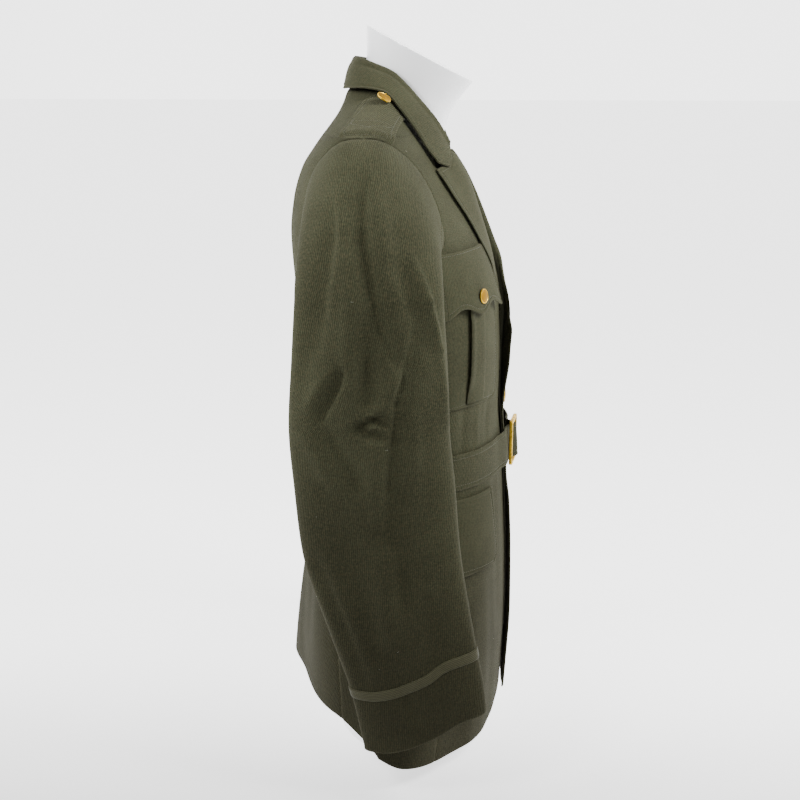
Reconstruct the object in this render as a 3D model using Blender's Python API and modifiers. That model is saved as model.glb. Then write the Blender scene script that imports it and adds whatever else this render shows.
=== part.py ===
"""Officer's belted service coat with empty sleeves, worn by a limbless dress form.

Units are metres, +Z is up, the coat faces -Y and the wearer's left is +X.
The origin is on the floor, under the middle of the form's flat base.

A place on the body of the coat is given by a turn, in degrees, and a height. The
turn is 0 at the middle of the front, 90 at the side and 180 at the middle of the
back. It is counted the same way on both sides, and a side is +1 for the wearer's
left and -1 for the right. A turn below 0 has passed the middle of the front.
"""

import math

import bmesh
import bpy
import numpy as np
from mathutils import Vector

# ---------------------------------------------------------------- driving sizes
CLOTH = 0.002               # wool cloth with its interlining
BRAID_CLOTH = 0.001         # mohair cuff braid
SEAM_GAP = 0.0009           # between two outer edges sewn together; inside it closes to 0.3 mm
SLEEVE_SEAM_DRAW = 0.0009   # how far each edge of a sleeve seam is drawn in
RIDGE_GAP = 0.25            # degrees from the shoulder seam to each side
TOUCH_GAP = 0.0003          # between a small hard piece and its seat
LAYER_GAP = 0.0009          # between a piece and the one that it lies on
ON_TOP = CLOTH + LAYER_GAP  # outer face of a piece that lies on another

SHOULDER_TIP = 0.780        # height of the outer end of the shoulder
NECK_TOP_ROW = 0.8235       # height of the neck edge of the fronts and backs
BREAK_HEIGHT = 0.548        # where the lapels begin to turn back

ARMHOLE_HEIGHT = 0.705      # middle of the armhole
ARMHOLE_RISE = 0.075        # from its middle to its top
ARMHOLE_FRONT = 45.0        # degrees forward of the side
ARMHOLE_BACK = 41.0         # degrees behind the side
ARMHOLE_SQUARENESS = 2.6
SLEEVE_STEP = 15            # degrees between the columns of a sleeve
SLEEVE_SEAM = 105           # turn of a sleeve's two seams round the arm

BELT_LOW, BELT_HIGH = 0.358, 0.403
CHEST_POCKET_X = 0.128      # middle of a chest pocket's seam, from the middle of the coat
CHEST_POCKET_LEAN = 0.055   # how fast the pocket's middle nears the coat's middle, going down
CHEST_POCKET_HALF = 0.0550  # half width along the cloth
CHEST_POCKET_CORNER = 0.014
CHEST_SEAM_HEIGHT = 0.648
LOWER_FLAP_TOP, LOWER_FLAP_LOW = 0.347, 0.254
BUTTON_LARGE, BUTTON_SMALL = 0.0115, 0.009   # radii
BRAID_RISE, BRAID_WIDTH = 0.068, 0.012       # above the cuff edge


class Profile:
    """A table with named columns, read smoothly between its rows without overshoot."""

    def __init__(self, columns, rows):
        values = np.array(rows, dtype=float)
        self.place = values[:, 0]
        self.columns = {name: values[:, i] for i, name in enumerate(columns)}
        self.slopes = {name: self.slopes_of(column) for name, column in self.columns.items()}

    def slopes_of(self, column):
        steps = np.diff(self.place)
        rates = np.diff(column) / steps
        slopes = np.zeros(len(column))
        slopes[0], slopes[-1] = rates[0], rates[-1]
        for i in range(1, len(column) - 1):
            if rates[i - 1] * rates[i] > 0:
                before, after = 2 * steps[i] + steps[i - 1], steps[i] + 2 * steps[i - 1]
                slopes[i] = (before + after) / (before / rates[i - 1] + after / rates[i])
        return slopes

    def at(self, name, place):
        column, slopes = self.columns[name], self.slopes[name]
        place = min(max(place, self.place[0]), self.place[-1])
        i = min(int(np.searchsorted(self.place, place, side="right")) - 1, len(self.place) - 2)
        step = self.place[i + 1] - self.place[i]
        t = (place - self.place[i]) / step
        return float(column[i] * (1 + 2 * t) * (1 - t) ** 2 + column[i + 1] * t * t * (3 - 2 * t)
                     + step * slopes[i] * t * (1 - t) ** 2 + step * slopes[i + 1] * t * t * (t - 1))


TORSO = Profile(
    ("z", "half_width", "front", "back", "centre", "front_squareness", "back_squareness"), (
        (0.000, 0.2400, -0.1365, 0.1480, 0.006, 1.95, 1.50),
        (0.080, 0.2330, -0.1400, 0.1420, 0.006, 2.10, 1.60),
        (0.160, 0.2240, -0.1425, 0.1330, 0.005, 2.25, 1.90),
        (0.240, 0.2110, -0.1415, 0.1210, 0.004, 2.3, 2.20),
        (0.310, 0.1920, -0.1385, 0.1050, 0.002, 2.3, 2.30),
        (0.380, 0.1750, -0.1350, 0.0900, 0.000, 2.3, 2.30),
        (0.440, 0.1750, -0.1300, 0.0950, 0.000, 2.3, 2.30),
        (0.500, 0.1840, -0.1305, 0.1100, 0.002, 2.3, 2.30),
        (0.560, 0.1940, -0.1280, 0.1230, 0.005, 2.3, 2.30),
        (0.610, 0.1990, -0.1195, 0.1300, 0.008, 2.3, 2.30),
        (0.660, 0.2030, -0.1010, 0.1325, 0.013, 2.3, 2.30),
        (0.700, 0.2050, -0.0825, 0.1280, 0.018, 2.3, 2.30),
        (0.740, 0.2055, -0.0610, 0.1155, 0.023, 2.3, 2.30),
        (0.762, 0.2055, -0.0450, 0.1010, 0.024, 2.3, 2.30),
        (0.778, 0.2020, -0.0315, 0.0890, 0.023, 2.3, 2.30),
        (0.784, 0.1890, -0.0270, 0.0845, 0.022, 2.3, 2.30),
        (0.790, 0.1720, -0.0225, 0.0805, 0.020, 2.3, 2.30),
        (0.802, 0.1390, -0.0135, 0.0730, 0.017, 2.3, 2.30),
        (0.814, 0.1060, -0.0050, 0.0680, 0.013, 2.3, 2.30),
        (0.826, 0.0730, 0.0000, 0.0645, 0.010, 2.3, 2.30),
        (0.842, 0.0300, 0.0060, 0.0500, 0.010, 2.3, 2.30)))

HEM = Profile(("turn", "height"), (
    (-20.0, 0.036), (0.0, 0.034), (30.0, 0.025), (60.0, 0.022), (90.0, 0.034), (105.0, 0.052),
    (120.0, 0.070), (150.0, 0.080), (180.0, 0.080)))

# Height of a sleeve's cuff edge, from its back edge at 0 to its front edge at 1.
CUFF = Profile(("fore", "height"), (
    (0.00, 0.0665), (0.16, 0.0676), (0.36, 0.0752), (0.61, 0.0945), (0.81, 0.1130), (1.00, 0.1210)))

# Soft upright folds of the skirt: how far each stands out at the hem.
FLUTES = Profile(("turn", "stand"), (
    (-20.0, 0.000), (14.0, 0.000), (34.0, 0.005), (55.0, -0.003), (78.0, 0.004), (103.0, -0.003),
    (128.0, 0.005), (152.0, -0.004), (170.0, 0.003), (180.0, 0.000)))

# How far the free edge of the left front curls away from the right front.
CURL = Profile(("z", "lift"), (
    (0.020, 0.003), (0.160, 0.005), (0.300, 0.005), (0.345, 0.002), (0.410, 0.002), (0.445, 0.004),
    (0.500, 0.010), (0.530, 0.0115), (0.552, 0.0075), (0.600, 0.003), (0.700, 0.000),
    (0.780, 0.000)))

# The lapel's two edges, as distances from the middle of the coat on its own side.
LAPEL = Profile(("z", "roll", "edge"), (
    (0.548, -0.0300, -0.0260), (0.580, -0.0130, 0.0100), (0.602, 0.0000, 0.0360),
    (0.640, 0.0140, 0.0620), (0.680, 0.0260, 0.0860), (0.710, 0.0335, 0.1060),
    (0.735, 0.0400, 0.1160), (0.750, 0.0430, 0.1160), (0.772, 0.0470, 0.1160),
    (0.800, 0.0540, 0.1160), (0.8235, 0.0640, 0.1160)))

# The arm of the sleeve below the armhole: its middle and its half thicknesses.
ARM = Profile(("z", "centre_x", "centre_y", "half_side", "half_depth"), (
    (0.070, 0.2565, -0.0540, 0.0180, 0.0745), (0.144, 0.2530, -0.0425, 0.0220, 0.0800),
    (0.207, 0.2480, -0.0253, 0.0250, 0.0848), (0.317, 0.2410, 0.0015, 0.0290, 0.0925),
    (0.390, 0.2390, 0.0085, 0.0310, 0.0930), (0.468, 0.2390, 0.0145, 0.0330, 0.0915),
    (0.540, 0.2395, 0.0138, 0.0340, 0.0873), (0.610, 0.2400, 0.0135, 0.0340, 0.0825)))

# Main soft creases of a sleeve, each a trough from one place to another. Fore is
# -1 at the back edge and 1 at the front edge of the sleeve's outer side.
CREASES = (
    # fore_0, z_0, fore_1, z_1, half_width, depth
    (-0.36, 0.725, -0.42, 0.560, 0.016, 0.0045),
    (-0.22, 0.540, -0.36, 0.455, 0.012, 0.0040),
    (-0.58, 0.500, -0.92, 0.445, 0.012, 0.0040),
    (0.36, 0.490, 0.06, 0.400, 0.012, 0.0050),
    (-0.44, 0.425, 0.02, 0.432, 0.010, 0.0040),
    (0.06, 0.400, 0.02, 0.340, 0.012, 0.0030),
    (-0.70, 0.300, -0.55, 0.180, 0.016, 0.0040),
)

# Lower part of the dress form, which tapers to its flat base.
HIPS = Profile(
    ("z", "half_width", "front", "back", "centre", "front_squareness", "back_squareness"), (
        (0.000, 0.1460, -0.0810, 0.0810, 0.002, 2.2, 1.9),
        (0.006, 0.1500, -0.0850, 0.0850, 0.002, 2.2, 1.9),
        (0.060, 0.1560, -0.0930, 0.0890, 0.002, 2.2, 1.9),
        (0.150, 0.1660, -0.1070, 0.0950, 0.002, 2.2, 2.0),
        (0.250, 0.1740, -0.1210, 0.0970, 0.002, 2.3, 2.2),
        (0.330, 0.1740, -0.1270, 0.0890, 0.001, 2.3, 2.3)))

# Tilted cross-sections of the form's neck.
NECK_COLUMNS = ("centre_y", "centre_z", "half_width", "half_depth", "tilt")
NECK_ROWS = (
    (0.004, 0.7600, 0.0490, 0.0550, 12.0),
    (-0.004, 0.8000, 0.0500, 0.0560, 18.0),
    (-0.012, 0.8300, 0.0525, 0.0590, 24.0),
    (-0.0185, 0.8510, 0.0550, 0.0662, 26.5),
    (-0.0235, 0.8685, 0.0572, 0.0736, 27.3),
    (-0.0248, 0.8715, 0.0562, 0.0736, 27.3),
)

# The collar's three lines from the middle of the back to its front end: its seam on
# the neck edge, its fold and the lower edge of its fall.
COLLAR = Profile(
    ("along", "seam_x", "seam_y", "seam_z", "fold_x", "fold_y", "fold_z",
     "edge_x", "edge_y", "edge_z"), (
        (0.00, 0.000, 0.0620, 0.8270, 0.000, 0.0500, 0.8670, 0.000, 0.0690, 0.8290),
        (0.16, 0.030, 0.0570, 0.8270, 0.028, 0.0440, 0.8655, 0.044, 0.0625, 0.8300),
        (0.32, 0.052, 0.0430, 0.8270, 0.049, 0.0290, 0.8600, 0.077, 0.0420, 0.8310),
        (0.46, 0.0635, 0.0180, 0.8270, 0.0605, 0.0040, 0.8500, 0.095, 0.0120, 0.8270),
        (0.58, 0.0620, -0.0050, 0.8220, 0.0605, -0.0120, 0.8360, 0.101, -0.0060, 0.8100),
        (0.72, 0.0550, -0.0250, 0.8050, 0.0560, -0.0290, 0.8170, 0.107, -0.0260, 0.7850),
        (0.86, 0.0500, -0.0430, 0.7850, 0.0510, -0.0460, 0.7960, 0.112, -0.0420, 0.7610),
        (1.00, 0.0480, -0.0580, 0.7680, 0.0480, -0.0620, 0.7770, 0.1125, -0.0540, 0.7470)))


# ---------------------------------------------------------------- shape of the body
def ease(value):
    """0 below 0, 1 above 1 and a smooth step between."""
    value = min(max(value, 0.0), 1.0)
    return value * value * (3 - 2 * value)


def signed_power(value, power):
    return math.copysign(abs(value) ** power, value)


def ring_point(profile, side, turn, z):
    """A place on a cross-section of the body or the form."""
    half, centre = profile.at("half_width", z), profile.at("centre", z)
    across, ahead = math.sin(math.radians(turn)), math.cos(math.radians(turn))
    half_name = "front" if ahead > 0 else "back"
    reach = abs(profile.at(half_name, z) - centre)
    power = 2 / profile.at(half_name + "_squareness", z)
    return Vector((side * half * signed_power(across, power),
                   centre - reach * signed_power(ahead, power), z))


def fluted_point(side, turn, z):
    point = ring_point(TORSO, side, turn, z)
    stand = FLUTES.at("stand", abs(turn)) * ease((0.34 - z) / 0.30)
    away = Vector((point.x, point.y - TORSO.at("centre", z), 0)).normalized()
    return point + away * stand


def body_normal(side, turn, z):
    turn = min(max(turn, -60.0), 179.5)
    across = fluted_point(side, turn + 0.5, z) - fluted_point(side, turn - 0.5, z)
    up = fluted_point(side, turn, z + 0.002) - fluted_point(side, turn, z - 0.002)
    normal = across.cross(up) * side
    return normal.normalized()


def body_point(side, turn, z, out=0.0):
    """A place on the coat's body, moved out along its normal."""
    point = fluted_point(side, turn, z)
    if turn >= 180.0:
        return point + Vector((0, out, 0))
    return point + body_normal(side, turn, z) * out


def turn_at(x, z):
    """The turn of the place that lies x to the side of the middle, on the front."""
    ratio = min(abs(x) / TORSO.at("half_width", z), 1.0)
    power = TORSO.at("front_squareness", z) / 2
    return math.copysign(math.degrees(math.asin(ratio ** power)), x)


def turn_along(x, z, distance):
    """The turn reached by going a distance round the body from a place on the front."""
    turns = np.linspace(-30.0, 150.0, 721)
    places = np.array([ring_point(TORSO, 1, turn, z)[:] for turn in turns])
    lengths = np.concatenate(([0.0], np.cumsum(np.linalg.norm(np.diff(places, axis=0), axis=1))))
    start = np.interp(turn_at(x, z), turns, lengths)
    return float(np.interp(start + distance, lengths, turns))


LAP_START_X, LAP_STEP = 0.050, 0.018       # where the left front begins to rise, and how fast
LAP_RISE = 0.0038                          # over the right front
LAP_ROLL_RISE = 0.0040                     # and over the right lapel's roll too
LAP_ROLL_LOW, LAP_ROLL_IN = 0.540, 0.012   # where that roll begins and how fast it is cleared
LAP_ROLL_HIGH, LAP_ROLL_OUT = 0.640, 0.030
CURL_START_X, CURL_STEP = -0.004, 0.026
PATCH_RISE = 0.0026                        # of what lies on the left front beside its step
PATCH_START_X, PATCH_STEP = 0.074, 0.022


def overlap_lift(side, turn, z):
    """How far the left front stands off the body where it lies over the right one."""
    if side < 0:
        return 0.0
    x = ring_point(TORSO, 1, turn, z).x
    over_roll = ease((z - LAP_ROLL_LOW) / LAP_ROLL_IN) * ease((LAP_ROLL_HIGH - z) / LAP_ROLL_OUT)
    return (ease((LAP_START_X - x) / LAP_STEP) * (LAP_RISE + LAP_ROLL_RISE * over_roll)
            + CURL.at("lift", z) * ease((CURL_START_X - x) / CURL_STEP))


def left_step(side, x):
    """Extra rise of what lies on the left front, where that front steps over the right one."""
    return PATCH_RISE * ease((PATCH_START_X - x) / PATCH_STEP) if side > 0 else 0.0


def front_point(side, turn, z, out=0.0):
    return body_point(side, turn, z, out + overlap_lift(side, turn, z))


def is_inside(x, y, z):
    half, centre = TORSO.at("half_width", z), TORSO.at("centre", z)
    half_name = "front" if y < centre else "back"
    reach = abs(TORSO.at(half_name, z) - centre)
    power = TORSO.at(half_name + "_squareness", z)
    return (abs(x) / half) ** power + (abs(y - centre) / reach) ** power < 1.0


def shoulder_height(x, y):
    """Height of the cloth above a place, on the slope of the shoulder."""
    low, high = 0.60, 0.842
    for _ in range(40):
        middle = (low + high) / 2
        if is_inside(x, y, middle):
            low = middle
        else:
            high = middle
    return low


def shoulder_point(x, y, out=0.0):
    step = 0.002
    rise_x = (shoulder_height(x + step, y) - shoulder_height(x - step, y)) / (2 * step)
    rise_y = (shoulder_height(x, y + step) - shoulder_height(x, y - step)) / (2 * step)
    normal = Vector((-rise_x, -rise_y, 1.0)).normalized()
    return Vector((x, y, shoulder_height(x, y))) + normal * out, normal


def armhole_turn(z, scale=1.0):
    """Turns of the armhole's front and back edges at a height."""
    place = min(abs(z - ARMHOLE_HEIGHT) / (ARMHOLE_RISE * scale), 1.0)
    share = (1 - place ** ARMHOLE_SQUARENESS) ** (1 / ARMHOLE_SQUARENESS) * scale
    return 90.0 - ARMHOLE_FRONT * share, 90.0 + ARMHOLE_BACK * share


def armhole_height(arm_turn, scale=1.0):
    return ARMHOLE_HEIGHT + ARMHOLE_RISE * scale * math.cos(math.radians(arm_turn))


# ---------------------------------------------------------------- meshes
coat = bpy.data.collections.new("Officer service coat on dress form")
materials = {}


def clear_scene():
    for old in list(bpy.data.objects):
        bpy.data.objects.remove(old, do_unlink=True)
    bpy.context.scene.collection.children.link(coat)


def material(name, color, roughness, metallic=0.0):
    shade = bpy.data.materials.new(name)
    shade.use_nodes = True
    shader = shade.node_tree.nodes["Principled BSDF"]
    shader.inputs["Base Color"].default_value = (*color, 1.0)
    shader.inputs["Roughness"].default_value = roughness
    shader.inputs["Metallic"].default_value = metallic
    materials[name] = shade


def add_object(name, mesh, finish):
    piece = bpy.data.objects.new(name, mesh)
    mesh.materials.append(materials[finish])
    mesh.shade_smooth()
    mesh.set_sharp_from_angle(angle=math.radians(40))
    coat.objects.link(piece)
    return piece


def sheet(name, rows, inside, finish="olive_cloth", thickness=CLOTH, closed=False, probe=0):
    """A wall of cloth under a grid of points, which are its outer face.

    The point called inside lies behind the first row's face number probe, and so
    says which way the sheet looks.
    """
    work = bmesh.new()
    grid = [[work.verts.new(point) for point in row] for row in rows]
    for low, high in zip(grid, grid[1:]):
        pairs = list(zip(low, low[1:], high[1:], high))
        if closed:
            pairs.append((low[-1], low[0], high[0], high[-1]))
        for corners in pairs:
            work.faces.new(corners)
    work.faces.ensure_lookup_table()
    work.normal_update()
    known = work.faces[probe]
    if known.normal.dot(known.calc_center_median() - Vector(inside)) < 0:
        bmesh.ops.reverse_faces(work, faces=work.faces)
    mesh = bpy.data.meshes.new(name)
    work.to_mesh(mesh)
    work.free()
    piece = add_object(name, mesh, finish)
    wall = piece.modifiers.new("Wall", "SOLIDIFY")
    wall.thickness = thickness
    wall.offset = -1.0
    return piece


def turned(name, profile, finish, steps=12):
    """A turned solid whose profile runs down its outer side, as (radius, height)."""
    mesh = bpy.data.meshes.new(name)
    mesh.from_pydata([(radius, 0.0, height) for radius, height in profile],
                     [(i, i + 1) for i in range(len(profile) - 1)], [])
    piece = add_object(name, mesh, finish)
    spin = piece.modifiers.new("Turn", "SCREW")
    spin.steps = spin.render_steps = steps
    spin.use_merge_vertices = True
    spin.merge_threshold = 0.00002
    spin.use_normal_calculate = True
    return piece


def button(name, seat, normal, radius, rise=0.0012):
    """A domed gilt button with a rolled rim, held off the cloth by its shank."""
    height = radius * 0.42
    piece = turned(name, (
        (0.0, height), (radius * 0.62, height * 0.84), (radius, height * 0.34),
        (radius * 0.84, 0.0), (radius * 0.25, 0.0),
        (radius * 0.22, TOUCH_GAP - rise), (0.0, TOUCH_GAP - rise)), "gilt")
    piece.rotation_mode = "QUATERNION"
    piece.rotation_quaternion = Vector((0, 0, 1)).rotation_difference(normal)
    piece.location = seat + normal * rise
    return piece


def side_name(base, side):
    return base + ("_left" if side > 0 else "_right")


# ---------------------------------------------------------------- body panels
SKIRT_ROWS = (0.0, 0.08, 0.16, 0.24, 0.30, 0.335, BELT_LOW, 0.3805, BELT_HIGH, 0.43, 0.465, 0.51, 0.548)
CHEST_ROWS = (0.58, 0.60, 0.62)
SHOULDER_ROWS = (0.789, 0.801, 0.813, NECK_TOP_ROW)


def armhole_rows(first_turn):
    """Heights of the armhole's points, from a turn round the arm up to the shoulder."""
    return [armhole_height(turn) for turn in range(first_turn, -1, -SLEEVE_STEP)]


def hem_height(turn, z):
    """Bends the lowest rows of the skirt to the slant of the hem."""
    hem = HEM.at("height", abs(turn))
    return hem + (z - SKIRT_ROWS[0]) * (0.25 - hem) / 0.25 if z < 0.25 else z


def gap_turn(z):
    """Half a seam's gap as a turn."""
    return math.degrees(SEAM_GAP / 2 / TORSO.at("half_width", z))


def front_edge_turn(side, z):
    """The front's free edge, and above the break its roll line."""
    reach = -0.030 if side > 0 else -0.025
    roll = LAPEL.at("roll", z) + 0.0006
    return turn_at(max(roll, reach) if z > BREAK_HEIGHT else reach, z)


def strip(side, heights, first_turn, last_turn, shares, place):
    rows = []
    for z in heights:
        start, end = first_turn(z), last_turn(z)
        turns = [start + (end - start) * share for share in shares]
        rows.append([place(side, turn, hem_height(turn, z)) for turn in turns])
    return rows


SEAM_FRONT, SEAM_BACK = armhole_turn(armhole_height(150))
FRONT_SHARES = (0.0, 0.05, 0.095, 0.125, 0.175, 0.25, 0.36, 0.48, 0.62, 0.76, 0.89, 1.0)
BACK_SHARES = [k / 6 for k in range(7)]


def front_outer_turn(z):
    if z >= SHOULDER_TIP - 1e-6:
        return 90.0 - RIDGE_GAP
    if z > armhole_height(150) - 1e-6:
        return armhole_turn(z)[0] - gap_turn(z)
    return SEAM_FRONT - gap_turn(z)


def back_outer_turn(z):
    if z >= SHOULDER_TIP - 1e-6:
        return 90.0 + RIDGE_GAP
    if z > armhole_height(150) - 1e-6:
        return armhole_turn(z)[1] + gap_turn(z)
    return SEAM_BACK + gap_turn(z)


def build_body():
    heights = list(SKIRT_ROWS + CHEST_ROWS) + armhole_rows(150) + list(SHOULDER_ROWS)
    for side in (1, -1):
        front = strip(side, heights, lambda z: front_edge_turn(side, z), front_outer_turn,
                      FRONT_SHARES, front_point)
        sheet(side_name("front", side), front, (0, 0, 0.1))
        back = strip(side, heights, back_outer_turn, lambda z: 180.0 - gap_turn(z), BACK_SHARES,
                     body_point)
        sheet(side_name("back", side), back, (0, 0, 0.1))
        build_side_panel(side)


def build_side_panel(side):
    """The narrow panel under the arm, whose top is the bottom of the armhole."""
    top = [(armhole_turn(armhole_height(turn))[0], armhole_height(turn)) for turn in (150, 165, 174)]
    top.append((90.0, armhole_height(180)))
    top += [(armhole_turn(armhole_height(turn))[1], armhole_height(turn)) for turn in (174, 165, 150)]
    lowest_free = CHEST_ROWS[1]
    rows = []
    for z in SKIRT_ROWS + CHEST_ROWS + (armhole_height(150),):
        row = []
        for k, (turn, end) in enumerate(top):
            place = turn + (gap_turn(z) if k == 0 else -gap_turn(z) if k == len(top) - 1 else 0)
            height = hem_height(turn, z)
            if z > lowest_free:
                share = (z - lowest_free) / (top[0][1] - lowest_free)
                height = lowest_free + (end - SEAM_GAP - lowest_free) * share
            row.append(body_point(side, place, height))
        rows.append(row)
    sheet(side_name("side", side), rows, (0, 0, 0.1))


# ---------------------------------------------------------------- sleeves
ARM_TOP = 0.610             # where the sleeve head ends
CAP_ROWS = 6
CAP_SIDE, CAP_UP = 0.100, 0.090   # how strongly the sleeve head leaves sideways and upwards
CAP_LEAVE = 0.6                   # share of the way down that shapes both of its ends
HEAD_SCALE = 0.992                # of the sleeve's edge inside the armhole
UNDERARM_LIFT = 0.0014            # of that edge at the bottom of the armhole
LEFT_CREASE_DROP = 0.018          # the left sleeve's creases lie lower by this
INNER_CREASE_RISE, INNER_CREASE_SHARE = 0.030, 0.5   # of the creases on the inner side


def arm_point(side, arm_turn, z):
    """A place round the arm; 0 is outermost, 90 the front edge and 180 the inner side."""
    across, ahead = math.cos(math.radians(arm_turn)), math.sin(math.radians(arm_turn))
    x = ARM.at("centre_x", z) + ARM.at("half_side", z) * signed_power(across, 0.85)
    y = ARM.at("centre_y", z) - ARM.at("half_depth", z) * signed_power(ahead, 0.95)
    return Vector((side * x, y, z))


def cuff_height(arm_turn):
    return CUFF.at("height", (1 + math.sin(math.radians(arm_turn))) / 2)


def crease_depth(side, arm_turn, z):
    """Depth of the troughs at a place on the sleeve; the left sleeve's lie a little lower."""
    fore, outward = math.sin(math.radians(arm_turn)), math.cos(math.radians(arm_turn))
    half = ARM.at("half_depth", z)
    shift, share = -LEFT_CREASE_DROP if side > 0 else 0.0, 1.0
    if outward < 0:
        shift, share = shift + INNER_CREASE_RISE, INNER_CREASE_SHARE
    depth = 0.0
    for fore_0, z_0, fore_1, z_1, width, deep in CREASES:
        start = Vector((fore_0 * half, z_0 + shift, 0))
        run = Vector((fore_1 * half, z_1 + shift, 0)) - start
        here = Vector((fore * half, z, 0)) - start
        along = min(max(here.dot(run) / run.length_squared, 0.0), 1.0)
        away = (here - run * along).length
        depth += deep * share * math.exp(-(away / width) ** 2)
    return depth * min(abs(outward) * 1.6, 1.0)


def armhole_point(side, arm_turn):
    """The sleeve's own edge at the armhole, just inside the body's edge."""
    z = armhole_height(arm_turn, HEAD_SCALE)
    front, back = armhole_turn(z, HEAD_SCALE)
    turn = front if math.sin(math.radians(arm_turn)) > 0 else back
    lift = UNDERARM_LIFT * (1 - math.cos(math.radians(arm_turn))) / 2
    return body_point(side, turn, z, lift)


def sleeve_point(side, arm_turn, place):
    """A place on the sleeve; place runs from 0 at the armhole to 1 at the arm's top, then down.

    Past 1 it is 1 plus the share of the way from the arm's top to the cuff edge.
    """
    wrapped = (arm_turn + 180) % 360 - 180
    if place <= 1.0:
        start, end = armhole_point(side, wrapped), arm_point(side, wrapped, ARM_TOP)
        high = (1 + math.cos(math.radians(wrapped))) / 2
        leave = (end - start) * CAP_LEAVE + Vector((side * CAP_SIDE, 0, CAP_UP)) * high
        arrive = Vector((0, 0, -CAP_LEAVE * (start.z - end.z) - 0.004))
        t = place
        point = (start * (1 + 2 * t) * (1 - t) ** 2 + end * t * t * (3 - 2 * t)
                 + leave * t * (1 - t) ** 2 + arrive * t * t * (t - 1))
    else:
        share = place - 1.0
        low = cuff_height(wrapped)
        z = ARM_TOP + (low - ARM_TOP) * share
        point = arm_point(side, wrapped, z)
    middle = Vector((side * ARM.at("centre_x", point.z), ARM.at("centre_y", point.z), point.z))
    inward = middle - point
    inward.z = 0
    return point + inward.normalized() * crease_depth(side, wrapped, point.z) * ease(place * 2)


def braid_share(arm_turn, rise):
    """Place of a line that runs round the sleeve at a height above the cuff edge."""
    return 2.0 - rise / (ARM_TOP - cuff_height(arm_turn))


def sleeve_rows(side, turns):
    places = [k / CAP_ROWS for k in range(CAP_ROWS + 1)] + [1.07, 1.15, 1.23, 1.31, 1.39, 1.48,
                                                            1.57, 1.66, 1.75, 1.82]
    rows = [[sleeve_point(side, turn, place) for turn in turns] for place in places]
    for rise in (BRAID_RISE + BRAID_WIDTH, BRAID_RISE, BRAID_RISE / 2, 0.0):
        rows.append([sleeve_point(side, turn, braid_share(turn, rise)) for turn in turns])
    return rows


def with_seam_gap(rows):
    """Draws the two long edges of a sleeve piece in by half a seam's gap."""
    for row in rows:
        for edge, neighbour in ((0, 1), (-1, -2)):
            row[edge] = row[edge] + (row[neighbour] - row[edge]).normalized() * SLEEVE_SEAM_DRAW
    return rows


def build_sleeve(side):
    upper = list(range(-SLEEVE_SEAM, SLEEVE_SEAM + 1, SLEEVE_STEP))
    under = list(range(SLEEVE_SEAM, 360 - SLEEVE_SEAM + 1, SLEEVE_STEP))
    sheet(side_name("sleeve_top", side), with_seam_gap(sleeve_rows(side, upper)),
          (side * 0.17, 0.02, 0.60))
    sheet(side_name("sleeve_under", side), with_seam_gap(sleeve_rows(side, under)),
          (side * 0.24, 0.013, 0.60))
    ring = list(range(-180, 180, SLEEVE_STEP))
    rows = []
    for rise in (BRAID_RISE + BRAID_WIDTH, BRAID_RISE):
        row = []
        for turn in ring:
            point = sleeve_point(side, turn, braid_share(turn, rise))
            z = point.z
            middle = Vector((side * ARM.at("centre_x", z), ARM.at("centre_y", z), z))
            away = Vector((point.x - middle.x, point.y - middle.y, 0))
            away.x *= 4.0
            row.append(point + away.normalized() * (BRAID_CLOTH + LAYER_GAP * 0.6))
        rows.append(row)
    sheet(side_name("cuff_braid", side), rows, (side * 0.25, -0.04, 0.15), "braid",
          BRAID_CLOTH, closed=True)


# ---------------------------------------------------------------- collar, lapels, straps
COLLAR_CROWN = 0.0038       # half the thickness of the collar's fold


def collar_section(side, along):
    """The collar's section from its neck seam up, over its fold and down its fall."""
    seam, fold, edge = (Vector((side * COLLAR.at(line + "_x", along), COLLAR.at(line + "_y", along),
                                COLLAR.at(line + "_z", along))) for line in ("seam", "fold", "edge"))
    away = Vector((edge.x - fold.x, edge.y - fold.y, 0)).normalized()
    out, down = away * COLLAR_CROWN, Vector((0, 0, -COLLAR_CROWN))
    crown = fold + out
    fall = crown + out + down
    return [seam, seam.lerp(fold, 0.55) - away * 0.0008, fold + down,
            fold + out * 0.3 + down * 0.3, crown,
            fall - out * 0.3 - down * 0.7, fall,
            fall.lerp(edge, 0.36) + away * 0.0022, fall.lerp(edge, 0.70) + away * 0.0014, edge]


def build_collar():
    stations = [k / 12 for k in range(13)]
    rows = [collar_section(-1, along) for along in reversed(stations)]
    rows += [collar_section(1, along) for along in stations[1:]]
    sheet("collar", rows, rows[0][0] + Vector((-0.02, 0, 0)))


LAPEL_ROLL_RISE = 0.0064    # of the right lapel's roll over its flat part
LEFT_LAPEL_ROLL = 0.0013    # the same of the left one at its foot
LEFT_LAPEL_FULL = 0.0035    # and what it gains above
LAPEL_TUCK = 0.0028         # how far the roll reaches past its line
LAPEL_BELLY = 0.0014
LEFT_LAPEL_RISE = 0.0016    # where it crosses the step of the left front over the right one


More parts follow.
